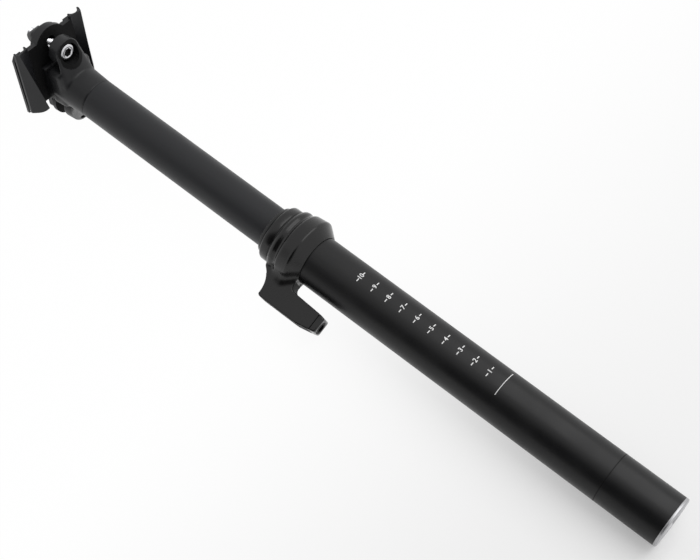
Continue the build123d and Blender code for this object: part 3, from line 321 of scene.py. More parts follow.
class Bench:
    """Modelling steps that the sub-assemblies share, each made with Blender's own operators."""

    @staticmethod
    def clear() -> None:
        """Deselects everything."""
        bpy.ops.object.select_all(action="DESELECT")

    @staticmethod
    def pick(piece: Piece) -> None:
        """Selects one piece alone and makes it the active one."""
        Bench.clear()
        piece.select_set(True)
        bpy.context.view_layer.objects.active = piece

    @staticmethod
    def added(name: str) -> Piece:
        """Names the piece that the last operator added, and returns it."""
        bpy.context.object.name = name
        return bpy.context.object

    @staticmethod
    @contextmanager
    def editing() -> Iterator[None]:
        """Opens the active piece in edit mode, with all of it selected."""
        bpy.ops.object.mode_set(mode="EDIT")
        bpy.ops.mesh.select_all(action="SELECT")
        yield
        bpy.ops.object.mode_set(mode="OBJECT")

    @staticmethod
    def place_in_mesh() -> None:
        """Puts the place of the selected pieces into their meshes."""
        bpy.ops.object.transform_apply(location=True, rotation=True, scale=True)

    @staticmethod
    def modify(piece: Piece, kind: str, **settings: object) -> None:
        """Changes a piece with an applied modifier.

        Args:
            piece: The piece.
            kind: The modifier's type.
            **settings: The modifier's settings.
        """
        Bench.pick(piece)
        modifier = piece.modifiers.new(kind.lower(), kind)
        for name, value in settings.items():
            setattr(modifier, name, value)
        bpy.ops.object.modifier_apply(modifier=modifier.name)

    @staticmethod
    def settle(piece: Piece, angle: float = 35.0) -> Piece:
        """Puts a piece's place into its mesh, turns its faces outwards and smooths it.

        Args:
            piece: The piece to finish.
            angle: Edges sharper than this many degrees stay sharp.

        Returns:
            The same piece.
        """
        Bench.pick(piece)
        Bench.place_in_mesh()
        with Bench.editing():
            bpy.ops.mesh.remove_doubles(threshold=MERGE)
            bpy.ops.mesh.normals_make_consistent(inside=False)
        bpy.ops.object.shade_smooth_by_angle(angle=radians(angle))
        return piece

    @staticmethod
    def joined(pieces: Sequence[Piece]) -> Piece:
        """Joins pieces into the first one.

        Args:
            pieces: The pieces.

        Returns:
            The first piece, which holds all.
        """
        Bench.pick(pieces[0])
        for piece in pieces[1:]:
            piece.select_set(True)
        bpy.ops.object.join()
        return pieces[0]

    @staticmethod
    def turned(name: str, profile: Sequence[Point], ring: bool = True, facets: int = 128,
               taper: float = 1.0) -> Piece:
        """Turns a piece about the post's axis from a circle, extruded and scaled along its profile.

        Args:
            name: The piece's name.
            profile: Radii and heights.
            ring: Whether the profile closes on itself round a bore; otherwise both ends are capped.
            facets: Number of sides.
            taper: Share of its radius to which the first circle is drawn in.

        Returns:
            The turned piece.
        """
        Bench.clear()
        radius, height = profile[0]
        bpy.ops.mesh.primitive_circle_add(vertices=facets, radius=radius * MM, location=(0, 0, height * MM),
                                          fill_type="NOTHING" if ring else "NGON")
        piece = Bench.added(name)
        with Bench.editing():
            if taper < 1.0:
                bpy.ops.transform.resize(value=(taper, taper, 1), center_override=(0, 0, height * MM))
                radius *= taper
            for new_radius, new_height in [*profile[1:], *(profile[:1] if ring else ())]:
                rise = (0, 0, (new_height - height) * MM)
                bpy.ops.mesh.extrude_region_move(TRANSFORM_OT_translate={"value": rise})
                growth = new_radius / radius
                bpy.ops.transform.resize(value=(growth, growth, 1), center_override=(0, 0, new_height * MM))
                radius, height = new_radius, new_height
        return Bench.settle(piece)

    @staticmethod
    def outlined(name: str, outline: Sequence[Point], depth: float, soften: float, segments: int) -> Piece:
        """Extrudes a piece from an outline in the cable arm's plane, alike to both sides.

        Args:
            name: The piece's name.
            outline: Corner points.
            depth: Its thickness.
            soften: Width of the rounded edges.
            segments: Steps of each rounded edge.

        Returns:
            The extruded piece.
        """
        Bench.clear()
        bpy.ops.mesh.primitive_circle_add(vertices=len(outline), radius=1.0, fill_type="NGON")
        piece = Bench.added(name)
        for vertex, (x, y) in zip(piece.data.vertices, outline):
            vertex.co = Vector((x, y, 0.0)) * MM
        with Bench.editing():
            bpy.ops.mesh.extrude_region_move(TRANSFORM_OT_translate={"value": (0, 0, depth * MM)})
        piece.matrix_world = arm_frame(-depth / 2)
        Bench.settle(piece)
        Bench.soften(piece, soften, segments)
        return Bench.settle(piece)

    @staticmethod
    def rod(name: str, radius: float, low: float, high: float, place: Matrix = Matrix.Identity(4),
            facets: int = 64) -> Piece:
        """Adds a cylinder or prism along a plane's normal, as a blank or a cutter.

        Args:
            name: The piece's name.
            radius: Its radius.
            low: Its lower end along the normal.
            high: Its upper end.
            place: The plane, the row frame's own if it isn't given.
            facets: Number of sides.

        Returns:
            The rod.
        """
        Bench.clear()
        bpy.ops.mesh.primitive_cylinder_add(vertices=facets, radius=radius * MM, depth=(high - low) * MM)
        piece = Bench.added(name)
        piece.matrix_world = place @ Matrix.Translation((0, 0, (low + high) / 2 * MM))
        return Bench.settle(piece)

    @staticmethod
    def bridged(name: str, ends: Iterable[tuple[Matrix, float]], facets: int = 64) -> Piece:
        """Bridges two circles into a tapered web.

        Args:
            name: The web's name.
            ends: Plane and radius of each circle.
            facets: Number of sides.

        Returns:
            The closed web.
        """
        rings = []
        for place, radius in ends:
            Bench.clear()
            bpy.ops.mesh.primitive_circle_add(vertices=facets, radius=radius * MM, fill_type="NOTHING")
            rings.append(Bench.added(name))
            rings[-1].matrix_world = place
            Bench.place_in_mesh()
        web = Bench.joined(rings)
        with Bench.editing():
            bpy.ops.mesh.bridge_edge_loops()
            bpy.ops.mesh.select_all(action="SELECT")
            bpy.ops.mesh.fill_holes(sides=facets)
        return Bench.settle(web)

    @staticmethod
    def lofted(name: str, sections: Sequence[Sequence[Vector]]) -> Piece:
        """Skins a closed piece through a row of sections.

        Args:
            name: The piece's name.
            sections: Closed sections of equally many points, in metres.

        Returns:
            The skinned piece, capped at both ends.
        """
        Bench.clear()
        around, along = len(sections[0]), len(sections)
        bpy.ops.mesh.primitive_grid_add(x_subdivisions=around, y_subdivisions=along - 1, size=1.0)
        piece = Bench.added(name)
        for index, vertex in enumerate(piece.data.vertices):
            row, column = divmod(index, around + 1)
            vertex.co = sections[row][column % around]
        Bench.settle(piece)
        with Bench.editing():
            bpy.ops.mesh.fill_holes(sides=0)
        return Bench.settle(piece)

    @staticmethod
    def flatten(piece: Piece, degrees_apart: float = 0.8) -> None:
        """Merges faces that lie within a small angle of one plane into whole ones."""
        Bench.pick(piece)
        with Bench.editing():
            bpy.ops.mesh.dissolve_limited(angle_limit=radians(degrees_apart))

    @staticmethod
    def soften(piece: Piece, width: float, segments: int = 3, angle: float = 28.0) -> None:
        """Rounds the edges that are sharper than an angle in degrees, to a width."""
        Bench.modify(piece, "BEVEL", width=width * MM, segments=segments, limit_method="ANGLE",
                     angle_limit=radians(angle), use_clamp_overlap=True)

    @staticmethod
    def combine(piece: Piece, tools: Iterable[Piece], operation: str = "DIFFERENCE") -> None:
        """Cuts or joins a piece with other closed pieces, which are used up.

        Args:
            piece: The piece.
            tools: The other pieces.
            operation: DIFFERENCE or UNION.
        """
        for tool in tools:
            Bench.modify(piece, "BOOLEAN", operation=operation, solver="EXACT", object=tool)
            bpy.data.objects.remove(tool)

    @staticmethod
    def forged(piece: Piece, grid: float, passes: int) -> None:
        """Melts overlapping blanks together into faces of one size, and smooths them."""
        Bench.modify(piece, "REMESH", mode="VOXEL", voxel_size=grid * MM)
        Bench.modify(piece, "SMOOTH", factor=0.5, iterations=passes)

    @staticmethod
    def ease_zone(piece: Piece, passes: int, inside: Callable[[Vector], bool]) -> None:
        """Smooths a part of a piece.

        Args:
            piece: The piece.
            passes: How far it is smoothed.
            inside: Test of a place, that picks the part.
        """
        zone = piece.vertex_groups.new(name="zone")
        zone.add([corner.index for corner in piece.data.vertices if inside(corner.co / MM)], 1.0, "REPLACE")
        Bench.modify(piece, "SMOOTH", factor=0.5, iterations=passes, vertex_group="zone")
        piece.vertex_groups.clear()

    @staticmethod
    def copy_of(node: str, name: str) -> Piece:
        """Copies a CAD node's mesh and merges its loose corners, ready to be worked on.

        Args:
            node: The CAD node.
            name: The copy's name.

        Returns:
            The copy.
        """
        piece = bpy.data.objects.new(name, frame["nodes"][node].data.copy())
        bpy.context.scene.collection.objects.link(piece)
        Bench.pick(piece)
        with Bench.editing():
            bpy.ops.mesh.remove_doubles(threshold=MERGE)
        return piece


@dataclass
class Collar:
    """Collar with its cable arm and the screw cap that holds the wiper."""

    ring: tuple[Point, ...] = (
        (15.3, 243.9), (15.9, 243.9), (16.3, 244.1), (18.6, 246.9), (21.1, 250.0), (21.5, 250.6), (21.65, 251.1),
        (21.65, 251.5), (21.5, 252.2), (21.0, 257.2), (20.9, 258.2), (20.6, 258.9), (20.1, 259.4), (19.5, 259.9),
        (19.1, 260.5), (19.0, 261.2), (19.1, 261.8), (19.4, 262.3), (19.65, 262.9), (19.7, 263.6), (19.55, 264.5),
        (19.2, 265.2), (18.6, 265.8), (17.8, 266.0), (17.8, 262.0), (15.3, 262.0))
    cap: tuple[Point, ...] = (
        (15.4, 266.05), (17.1, 266.05), (17.1, 266.9), (17.45, 267.3), (17.6, 267.9), (17.6, 271.4), (17.5, 272.0),
        (17.2, 272.5), (16.7, 272.8), (15.6, 273.2), (15.2, 273.5), (15.05, 274.0), (15.0, 275.0), (14.85, 275.35),
        (14.55, 275.5), (14.1, 275.5), (13.8, 275.3), (13.7, 274.9), (13.7, 274.0), (15.0, 273.0))
    arm_foot: tuple[Point, ...] = ((23.4, 221.6), (23.9, 221.2), (34.0, 221.2), (34.5, 221.8), (35.9, 229.5),
                                   (36.0, 231.0), (36.0, 255.4), (35.8, 256.9))
    arm_root: tuple[Point, Point] = ((17.0, 244.2), (17.0, 265.3))
    gap_top: Point = (18.9, 240.55)
    gap_round: float = 3.45
    shoulder: tuple[Point, Point] = ((35.0, 257.9), (19.6, 265.3))
    shoulder_bow: float = 2.3
    tip_outline: tuple[Point, ...] = ((24.1, 217.45), (33.4, 217.45), (34.05, 219.6), (34.45, 221.9),
                                      (23.3, 221.9), (23.7, 219.4))
    tip_edge: float = 0.9
    tip_step: float = 1.2
    thickness: float = 13.0
    arm_edge: float = 2.05
    grid: float = 0.34
    ease_passes: int = 55
    gusset_round: float = 8.5
    gusset_sink: float = 1.6
    gusset_levels: tuple[float, ...] = (244.0, 244.6, 245.6, 246.9, 248.4, 250.0, 250.6, 251.1, 251.5, 252.2, 253.8,
                                        255.4, 257.2, 258.2, 258.9, 259.4, 259.9, 260.5, 261.2, 261.8, 262.3, 262.8)
    gusset_end: float = 263.4
    gusset_taper: float = 8.0
    play: float = 0.03
    cable_out: float = 29.4
    stop_radius: float = 4.05
    cable_radius: float = 3.2
    tube_radius: float = 15.33
    pocket_play: float = 0.06
    pocket_lift: float = 0.08

    def arm_outline(self) -> list[Point]:
        """Draws the arm.

        Returns:
            Its corners, out along it and up the post.
        """
        gap = [(self.gap_top[0] + self.gap_round * cos(turn), self.gap_top[1] + self.gap_round * sin(turn))
               for turn in [radians(angle) for angle in range(90, -1, -15)]]
        start, end = (Vector(point) for point in self.shoulder)
        chord = end - start
        bow = Vector((-chord.y, chord.x)).normalized() * self.shoulder_bow
        shoulder = []
        for step in range(0, 11):
            share = step / 10
            point = start + chord * share + bow * (4 * share * (1 - share))
            shoulder.append((point.x, point.y))
        return [self.arm_root[0], *gap, *self.arm_foot, *shoulder, self.arm_root[1]]

    def ring_radius(self, height: float) -> float:
        """Measures the ring.

        Args:
            height: A height.

        Returns:
            Its outer radius there.
        """
        outer = self.ring[1:22]
        for (low_radius, low), (high_radius, high) in zip(outer, outer[1:]):
            if low <= height <= high and high > low:
                return low_radius + (high_radius - low_radius) * (height - low) / (high - low)
        return outer[-1][0]

    def near_joint(self, place: Vector) -> bool:
        """Tells whether a place lies where the ring runs into the arm.

        Args:
            place: The place.

        Returns:
            Whether it does.
        """
        spot = arm_frame().inverted() @ (place * MM) / MM
        reach = place.xy.length - self.ring_radius(place.z)
        return spot.x > 8.0 and abs(spot.z) < 12.0 and -0.8 < reach < 5.0 and place.z > 244.3

    def in_recess(self, face: Face) -> bool:
        """Tells whether a face is one of the arm's edges facing inwards, down or outwards, which are painted dark and
        matt as painted shade.

        Args:
            face: The face.

        Returns:
            Whether it is.
        """
        spot = arm_frame().inverted() @ face.center / MM
        outward = face.normal.dot(ARM_OUT)
        if spot.x < 17.2 or abs(spot.z) > 7.0 or spot.y > 256.0:
            return False
        below = spot.y < 245.0 and (face.normal.z < -0.5 or outward < -0.45)
        return below or (outward > 0.9 and spot.x > 33.0)

    def on_cap(self, face: Face) -> int:
        """Chooses the finish of a face of the cap: 1 on the rim, which is painted bright as a painted highlight, 2
        inside the lip, painted dark as painted shade, otherwise 0.
        """
        reach, height = face.center.xy.length / MM, face.center.z / MM
        return 1 if height > 275.3 and reach > 14.5 else 2 * int(height > 273.6 and reach < 14.4)

    def gusset(self, side: int) -> Piece:
        """Builds the hollow in which the ring runs into one flank of the arm.

        Args:
            side: 1 or -1, the flank.

        Returns:
            The gusset.
        """
        flank = self.thickness / 2 - self.play
        sections = []
        for height in self.gusset_levels:
            radius = self.ring_radius(height) - self.play
            hollow = self.gusset_round * min(1.0, max(0.1, (self.gusset_end - height) / self.gusset_taper))
            middle = Vector((sqrt((radius + hollow) ** 2 - (flank + hollow) ** 2), flank + hollow))
            start = atan2(-middle.y, -middle.x)
            points = []
            for step in range(9):
                turn = start + (-pi / 2 - start) * step / 8
                points.append(middle + hollow * Vector((cos(turn), sin(turn))))
            first, last = points[0], points[-1]
            inner = flank - self.gusset_sink
            points += [Vector((last.x, inner)),
                       Vector((sqrt(radius ** 2 - flank ** 2) - self.gusset_sink, inner)),
                       first * ((radius - self.gusset_sink) / radius)]
            sections.append([arm_frame() @ Vector((point.x * MM, height * MM, side * point.y * MM))
                             for point in points])
        return Bench.lofted(f"gusset_{side}", sections)

    def cable_hole(self, radius: float, high: float) -> Piece:
        """Builds the cutter of the cable's hole in the arm."""
        axis = Matrix.Translation((self.cable_out * cos(ARM_AZIMUTH) * MM, self.cable_out * sin(ARM_AZIMUTH) * MM, 0))
        return Bench.rod("stop_hole", radius, 200.0, high, axis)

    def cover_pocket(self) -> Piece:
        """Builds the cutter that leaves the arm's side cover its place.

        Returns:
            The cutter, a little larger than the cover.
        """
        cutter = Bench.copy_of("arm_cover", "cover_pocket")
        corners = [corner.co for corner in cutter.data.vertices]
        middle = sum(corners, Vector()) / len(corners)
        outward = ARM_SIDE if middle.dot(ARM_SIDE) > 0 else -ARM_SIDE
        for corner in cutter.data.vertices:
            grown = corner.co + (corner.co - middle).normalized() * self.pocket_play * MM
            corner.co = grown + outward * self.pocket_lift * MM
        return cutter

    def mesh(self) -> Piece:
        """Builds the collar with its arm.

        Returns:
            The collar.
        """
        blanks = [Bench.turned("collar", self.ring),
                  Bench.outlined("arm", self.arm_outline(), self.thickness, self.arm_edge, 1),
                  self.gusset(1), self.gusset(-1)]
        collar = Bench.joined(blanks)
        Bench.forged(collar, self.grid, 3)
        Bench.ease_zone(collar, self.ease_passes, self.near_joint)
        Bench.combine(collar, [self.cable_hole(self.stop_radius, 226.0),
                               Bench.rod("tube_bore", self.tube_radius, 230.0, 262.0, facets=128),
                               self.cover_pocket()])
        Bench.settle(collar, 30.0)
        # The arm's inner, lower and outer edges are painted dark as painted shade.
        dress(collar, [Finishes.COLLAR, Finishes.SHADE], self.in_recess)
        return collar

    def tip(self) -> Piece:
        """Builds the end piece of the arm, a step thinner than the arm, round the cable's hole.

        Returns:
            The end piece.
        """
        tip = Bench.outlined("arm_tip", self.tip_outline, self.thickness - self.tip_step, self.tip_edge, 4)
        Bench.combine(tip, [self.cable_hole(self.cable_radius, 240.0)])
        return Bench.settle(tip, 30.0)

    def build(self) -> None:
        """Builds and dresses the collar's pieces."""
        collar = self.mesh()
        cap = Bench.turned("wiper_cap_dressed", self.cap)
        # The cap's rim takes the brighter alloy finish as a painted highlight, and its inner lip the dark matt one as
        # painted shade.
        dress(cap, [Finishes.COLLAR, Finishes.PLUG, Finishes.SHADE], self.on_cap)
        mount_piece(collar, "lower", Finishes.COLLAR, "collar_body")
        mount_piece(cap, "lower", Finishes.COLLAR, "wiper_cap")
        mount_piece(self.tip(), "lower", Finishes.COLLAR)
        # The cable stop is painted dark and matt, as painted shade in the arm's hole.
        dress(frame["nodes"]["cable_stop"], [Finishes.SHADE])


@dataclass
class Foot:
    """Bare metal end face of the post."""

    profile: tuple[Point, ...] = ((14.9, 0.0), (15.2, 0.12), (15.4, 0.38), (15.47, 0.65), (15.47, 1.75),
                                  (15.4, 1.85), (14.7, 1.9), (14.7, 6.7))
    seam: tuple[Point, ...] = ((15.3, 39.75), (15.47, 39.75), (15.47, 40.2), (15.3, 40.2))
    key_radius: float = 5.7735
    key_depth: float = 2.5
    edge_round: float = 0.12

    def build(self) -> None:
        """Builds and dresses the end plug's visible face with its key recess, and the bottom cap's seam."""
        mount_piece(Bench.turned("cap_seam", self.seam), "lower", Finishes.SHADE)
        plug = Bench.turned("end_face", self.profile, ring=False)
        Bench.combine(plug, [Bench.rod("key_recess", self.key_radius, -1.0, self.key_depth, facets=6)])
        Bench.soften(plug, self.edge_round, 2, 40.0)
        Bench.settle(plug)
        mount_piece(plug, "lower", Finishes.PLUG, "end_plug")


@dataclass
class Head:
    """Forged seat head with its two bolts."""

    neck: tuple[Point, ...] = ((12.72, 416.0), (12.8, 419.0), (13.1, 424.0), (13.4, 430.0), (13.4, 440.0),
                               (12.0, 444.0))
    web_radius: float = 13.0
    web_feet: Point = (429.5, 421.0)
    web_lap: float = 0.6
    boss_radius: float = 8.8
    boss_foot: float = -17.6
    boss_top: float = -9.5
    pad_size: tuple[float, float, float] = (26.0, 26.0, 13.0)
    pad_height: float = -14.0
    pad_round: float = 3.0
    pad_forward: float = 1.0
    trough_radius: float = 20.5
    trough_height: float = 9.5
    bore_radius: float = 6.3
    bore_top: float = -13.5
    shank_hole: float = 3.25
    spigot_radius: float = 7.2
    spigot_top: float = 419.5
    bolt_places: Point = (-21.0, 23.0)
    bolt_face: float = -17.2
    shank_radius: float = 2.95
    root_radius: float = 2.62
    bolt_tip: float = 15.4
    tip_taper: float = 0.85
    thread_top: float = 14.8
    thread_pitch: float = 0.9
    thread_turns: int = 28
    key_radius: float = 2.887
    key_depth: float = 2.4

    def in_bore(self, face: Face) -> bool:
        """Tells whether a face lies in a bolt's counterbore or on the end face round it, which take painted shade.

        Args:
            face: The face.

        Returns:
            Whether it does.
        """
        spot, down = clamp_view(face)
        reach = min(sqrt((spot.x - x) ** 2 + spot.y ** 2) for x in self.bolt_places)
        in_wall = reach < self.bore_radius + 0.2 and spot.z < -12.5
        return in_wall or (reach < 9.0 and down > 0.85 and spot.z < -16.5)

    def in_socket(self, face: Face) -> bool:
        """Tells whether a face lies in the socket of a bolt that still stands on the axis, which is painted dark as
        painted shade.
        """
        middle = face.center / MM
        return middle.xy.length < 2.9 and self.bolt_face + 0.15 < middle.z < self.bolt_face + 2.5

    def pad(self) -> Piece:
        """Builds the block between the bosses.

        Returns:
            The block.
        """
        Bench.clear()
        bpy.ops.mesh.primitive_cube_add(size=1.0)
        pad = Bench.added("pad")
        size = [length * MM for length in self.pad_size]
        pad.matrix_world = clamp_frame(self.pad_forward, self.pad_height) @ Matrix.Diagonal((*size, 1))
        Bench.settle(pad)
        Bench.soften(pad, self.pad_round, 4)
        return pad

    def mesh(self) -> Piece:
        """Builds the head: neck, webs, bosses and pad, melted together and then bored.

        Returns:
            The head.
        """
        blanks = [Bench.turned("head", self.neck, ring=False, facets=96)]
        for index, (x, foot) in enumerate(zip(self.bolt_places, self.web_feet)):
            blanks.append(Bench.bridged(f"web_{index}", (
                (Matrix.Translation((0, 0, foot * MM)), self.web_radius),
                (clamp_frame(x, self.boss_foot + self.web_lap), self.boss_radius))))
            blanks.append(Bench.rod(f"boss_{index}", self.boss_radius, self.boss_foot, self.boss_top,
                                    clamp_frame(x)))
        head = Bench.joined([*blanks, self.pad()])
        Bench.forged(head, 0.5, 8)
        trough = clamp_frame(self.pad_forward, self.trough_height) @ Matrix.Rotation(pi / 2, 4, "X")
        Bench.combine(head, [Bench.rod("trough", self.trough_radius, -30.0, 30.0, trough, 192)])
        Bench.forged(head, 0.45, 3)
        cutters = []
        for index, x in enumerate(self.bolt_places):
            cutters.append(Bench.rod(f"counterbore_{index}", self.bore_radius, -30.0, self.bore_top,
                                     clamp_frame(x), 96))
            cutters.append(Bench.rod(f"shank_hole_{index}", self.shank_hole, -14.0, -5.0, clamp_frame(x)))
        cutters.append(Bench.rod("spigot_bore", self.spigot_radius, 400.0, self.spigot_top))
        Bench.combine(head, cutters)
        Bench.settle(head, 32.0)
        # The counterbores and the end faces round them are painted dark as painted shade.
        dress(head, [Finishes.HEAD, Finishes.SHADE], self.in_bore)
        return head

    def bolt_profile(self) -> list[Point]:
        """Draws a bolt.

        Returns:
            Radii and heights from its threaded tip down to its head's face.
        """
        shank, face = self.shank_radius, self.bolt_face
        points = [(shank, self.bolt_tip), (shank, 15.0)]
        for turn in range(self.thread_turns):
            top = self.thread_top - turn * self.thread_pitch
            points += [(shank, top), (self.root_radius, top - 0.35), (shank, top - 0.7)]
        return points + [(shank, -11.5), (shank, -14.2), (3.1, -14.5), (4.9, -14.5), (5.18, -14.65), (5.2, -14.9),
                         (5.2, face + 0.6), (5.1, face + 0.3), (4.85, face + 0.08), (4.55, face), (3.6, face),
                         (3.4, face + 0.1)]

    def bolts(self) -> Piece:
        """Builds both chrome bolts: a turned head with a socket, an edge round and a threaded shank.

        Returns:
            Both bolts, as one piece.
        """
        bolts = []
        for index, x in enumerate(self.bolt_places):
            bolt = Bench.turned(f"bolt_{index}", self.bolt_profile(), False, 72, self.tip_taper)
            Bench.combine(bolt, [Bench.rod("socket", self.key_radius, -24.0, self.bolt_face + self.key_depth,
                                           facets=6)])
            # The socket's faces are painted dark as painted shade.
            dress(bolt, [Finishes.CHROME, Finishes.SOCKET], self.in_socket)
            bolt.matrix_world = clamp_frame(x)
            bolts.append(Bench.settle(bolt, 30.0))
        both = Bench.joined(bolts)
        both.name = "bolts_dressed"
        return both

    def build(self) -> None:
        """Builds and dresses the head and its bolts."""
        mount_piece(self.mesh(), "upper", Finishes.HEAD, "seat_head")
        mount_piece(self.bolts(), "upper", Finishes.CHROME, "clamp_bolts")


@dataclass
class SaddleClamp:
    """Cradle and upper clamp, with the rounded edges that tumbling leaves."""

    edge_round: float = 0.42
    ear_place: float = -21.0
    ear_radius: float = 11.5
    ear_bore: float = 6.2
    ear_low: float = -3.5
    ear_high: float = 2.7
    shade_reach: float = 17.9

    def ear(self) -> Piece:
        """Builds the thick rim of the cradle's rear ear.

        Returns:
            The rim, open for the bolt.
        """
        place = clamp_frame(self.ear_place)
        rim = Bench.rod("ear", self.ear_radius, self.ear_low, self.ear_high, place, 96)
        Bench.combine(rim, [Bench.rod("ear_slot", self.ear_bore, self.ear_low - 1.0, self.ear_high + 1.0, place)])
        return rim

    def underside(self, face: Face) -> bool:
        """Tells whether a face lies on the underside between the wings, which is painted dark as painted shade."""
        return clamp_view(face)[1] > 0.75 and abs(face.center.y) < self.shade_reach * MM

    def build(self) -> None:
        """Builds and dresses the clamp's two halves."""
        for node, name in (("lower_cradle", "cradle"), ("upper_clamp", "top_clamp")):
            piece = Bench.copy_of(node, name)
            Bench.flatten(piece)
            if node == "lower_cradle":
                Bench.combine(piece, [self.ear()], "UNION")
                Bench.flatten(piece)
            Bench.soften(piece, self.edge_round, 3, 18.0)
            Bench.settle(piece, 40.0)
            Bench.modify(piece, "WEIGHTED_NORMAL", keep_sharp=True, weight=80)
            # The underside between the wings is painted dark as painted shade.
            dress(piece, [Finishes.HEAD, Finishes.SHADE], self.underside)
            mount_piece(piece, "clamp", Finishes.HEAD, node)


@dataclass
class ReturnSpring:
    """Coil under the lever's eye, which shortens as the lever swings down on it."""

    pressed: float = 0.62

    def build(self) -> None:
        """Copies the spring, dresses it as steel and lets it ride on the lower body in place of its CAD node."""
        spring = Bench.copy_of("return_spring", "return_spring_coil")
        mount_piece(spring, "lower", Finishes.STEEL, "return_spring")
        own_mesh(spring)


@dataclass
class Print:
    """Pale marks printed on the outer tube: a depth scale and its numbers."""

    radius: float = 15.45
    lift: float = 0.03
    first: float = 113.4
    step: float = 10.0
    count: int = 10
    dash_gap: float = 1.75
    dash_length: float = 2.0
    dash_width: float = 0.6
    line_reach: float = 9.0
    line_width: float = 0.4
    digit_height: float = 2.9
    digit_fit: float = 1.35
    stroke: float = 0.07

    def wrap(self, piece: Piece) -> None:
        """Wraps a flat print, drawn in the plane of arc length and height, round the tube's rear.

        Args:
            piece: The print.
        """
        for vertex in piece.data.vertices:
            turn = pi + vertex.co.x / (self.radius * MM)
            reach = (self.radius + self.lift + vertex.co.z / MM) * MM
            vertex.co = Vector((reach * cos(turn), reach * sin(turn), vertex.co.y))

    def strip(self, name: str, across: Point, height: float, width: float, cuts: int) -> Piece:
        """Draws one printed bar, cut across so that it can bend.

        Args:
            name: The bar's name.
            across: Its ends along the tube's girth.
            height: The height of its middle.
            width: Its width.
            cuts: Number of sections.

        Returns:
            The flat bar.
        """
        start, end = sorted(across)
        Bench.clear()
        bpy.ops.mesh.primitive_grid_add(x_subdivisions=cuts, y_subdivisions=1, size=1.0)
        bar = Bench.added(name)
        bar.matrix_world = (Matrix.Translation(((start + end) / 2 * MM, height * MM, 0))
                            @ Matrix.Diagonal(((end - start) * MM, width * MM, 1, 1)))
        Bench.place_in_mesh()
        return bar

    def figure(self, text: str, height: float) -> Piece:
        """Draws a plain number, centred on the scale.

        Args:
            text: The number.
            height: Its height on the post.

        Returns:
            The flat number.
        """
        Bench.clear()
        bpy.ops.object.text_add()
        figure = bpy.context.object
        figure.data.body = text
        figure.data.size = self.digit_height * self.digit_fit * MM
        figure.data.align_x = "CENTER"
        figure.data.align_y = "CENTER"
        figure.data.offset = self.stroke * MM
        bpy.ops.object.convert(target="MESH")
        figure.matrix_world = Matrix.Translation((0, height * MM, 0))
        Bench.place_in_mesh()
        return figure

    def build(self) -> None:
        """Builds and dresses the printed scale and the line at its end."""
        marks = []
        for index in range(1, self.count + 1):
            height = self.first + index * self.step
            for side in (-1, 1):
                across = (side * self.dash_gap, side * (self.dash_gap + self.dash_length))
                marks.append(self.strip(f"dash_{index}_{side}", across, height, self.dash_width, 4))
            marks.append(self.figure(str(index), height))
        marks.append(self.strip("limit", (-self.line_reach, self.line_reach), self.first, self.line_width, 24))
        for mark in marks:
            self.wrap(mark)
        scale = Bench.joined(marks)
        scale.name = "depth_scale"
        Bench.settle(scale)
        mount_piece(scale, "lower", Finishes.PRINT)


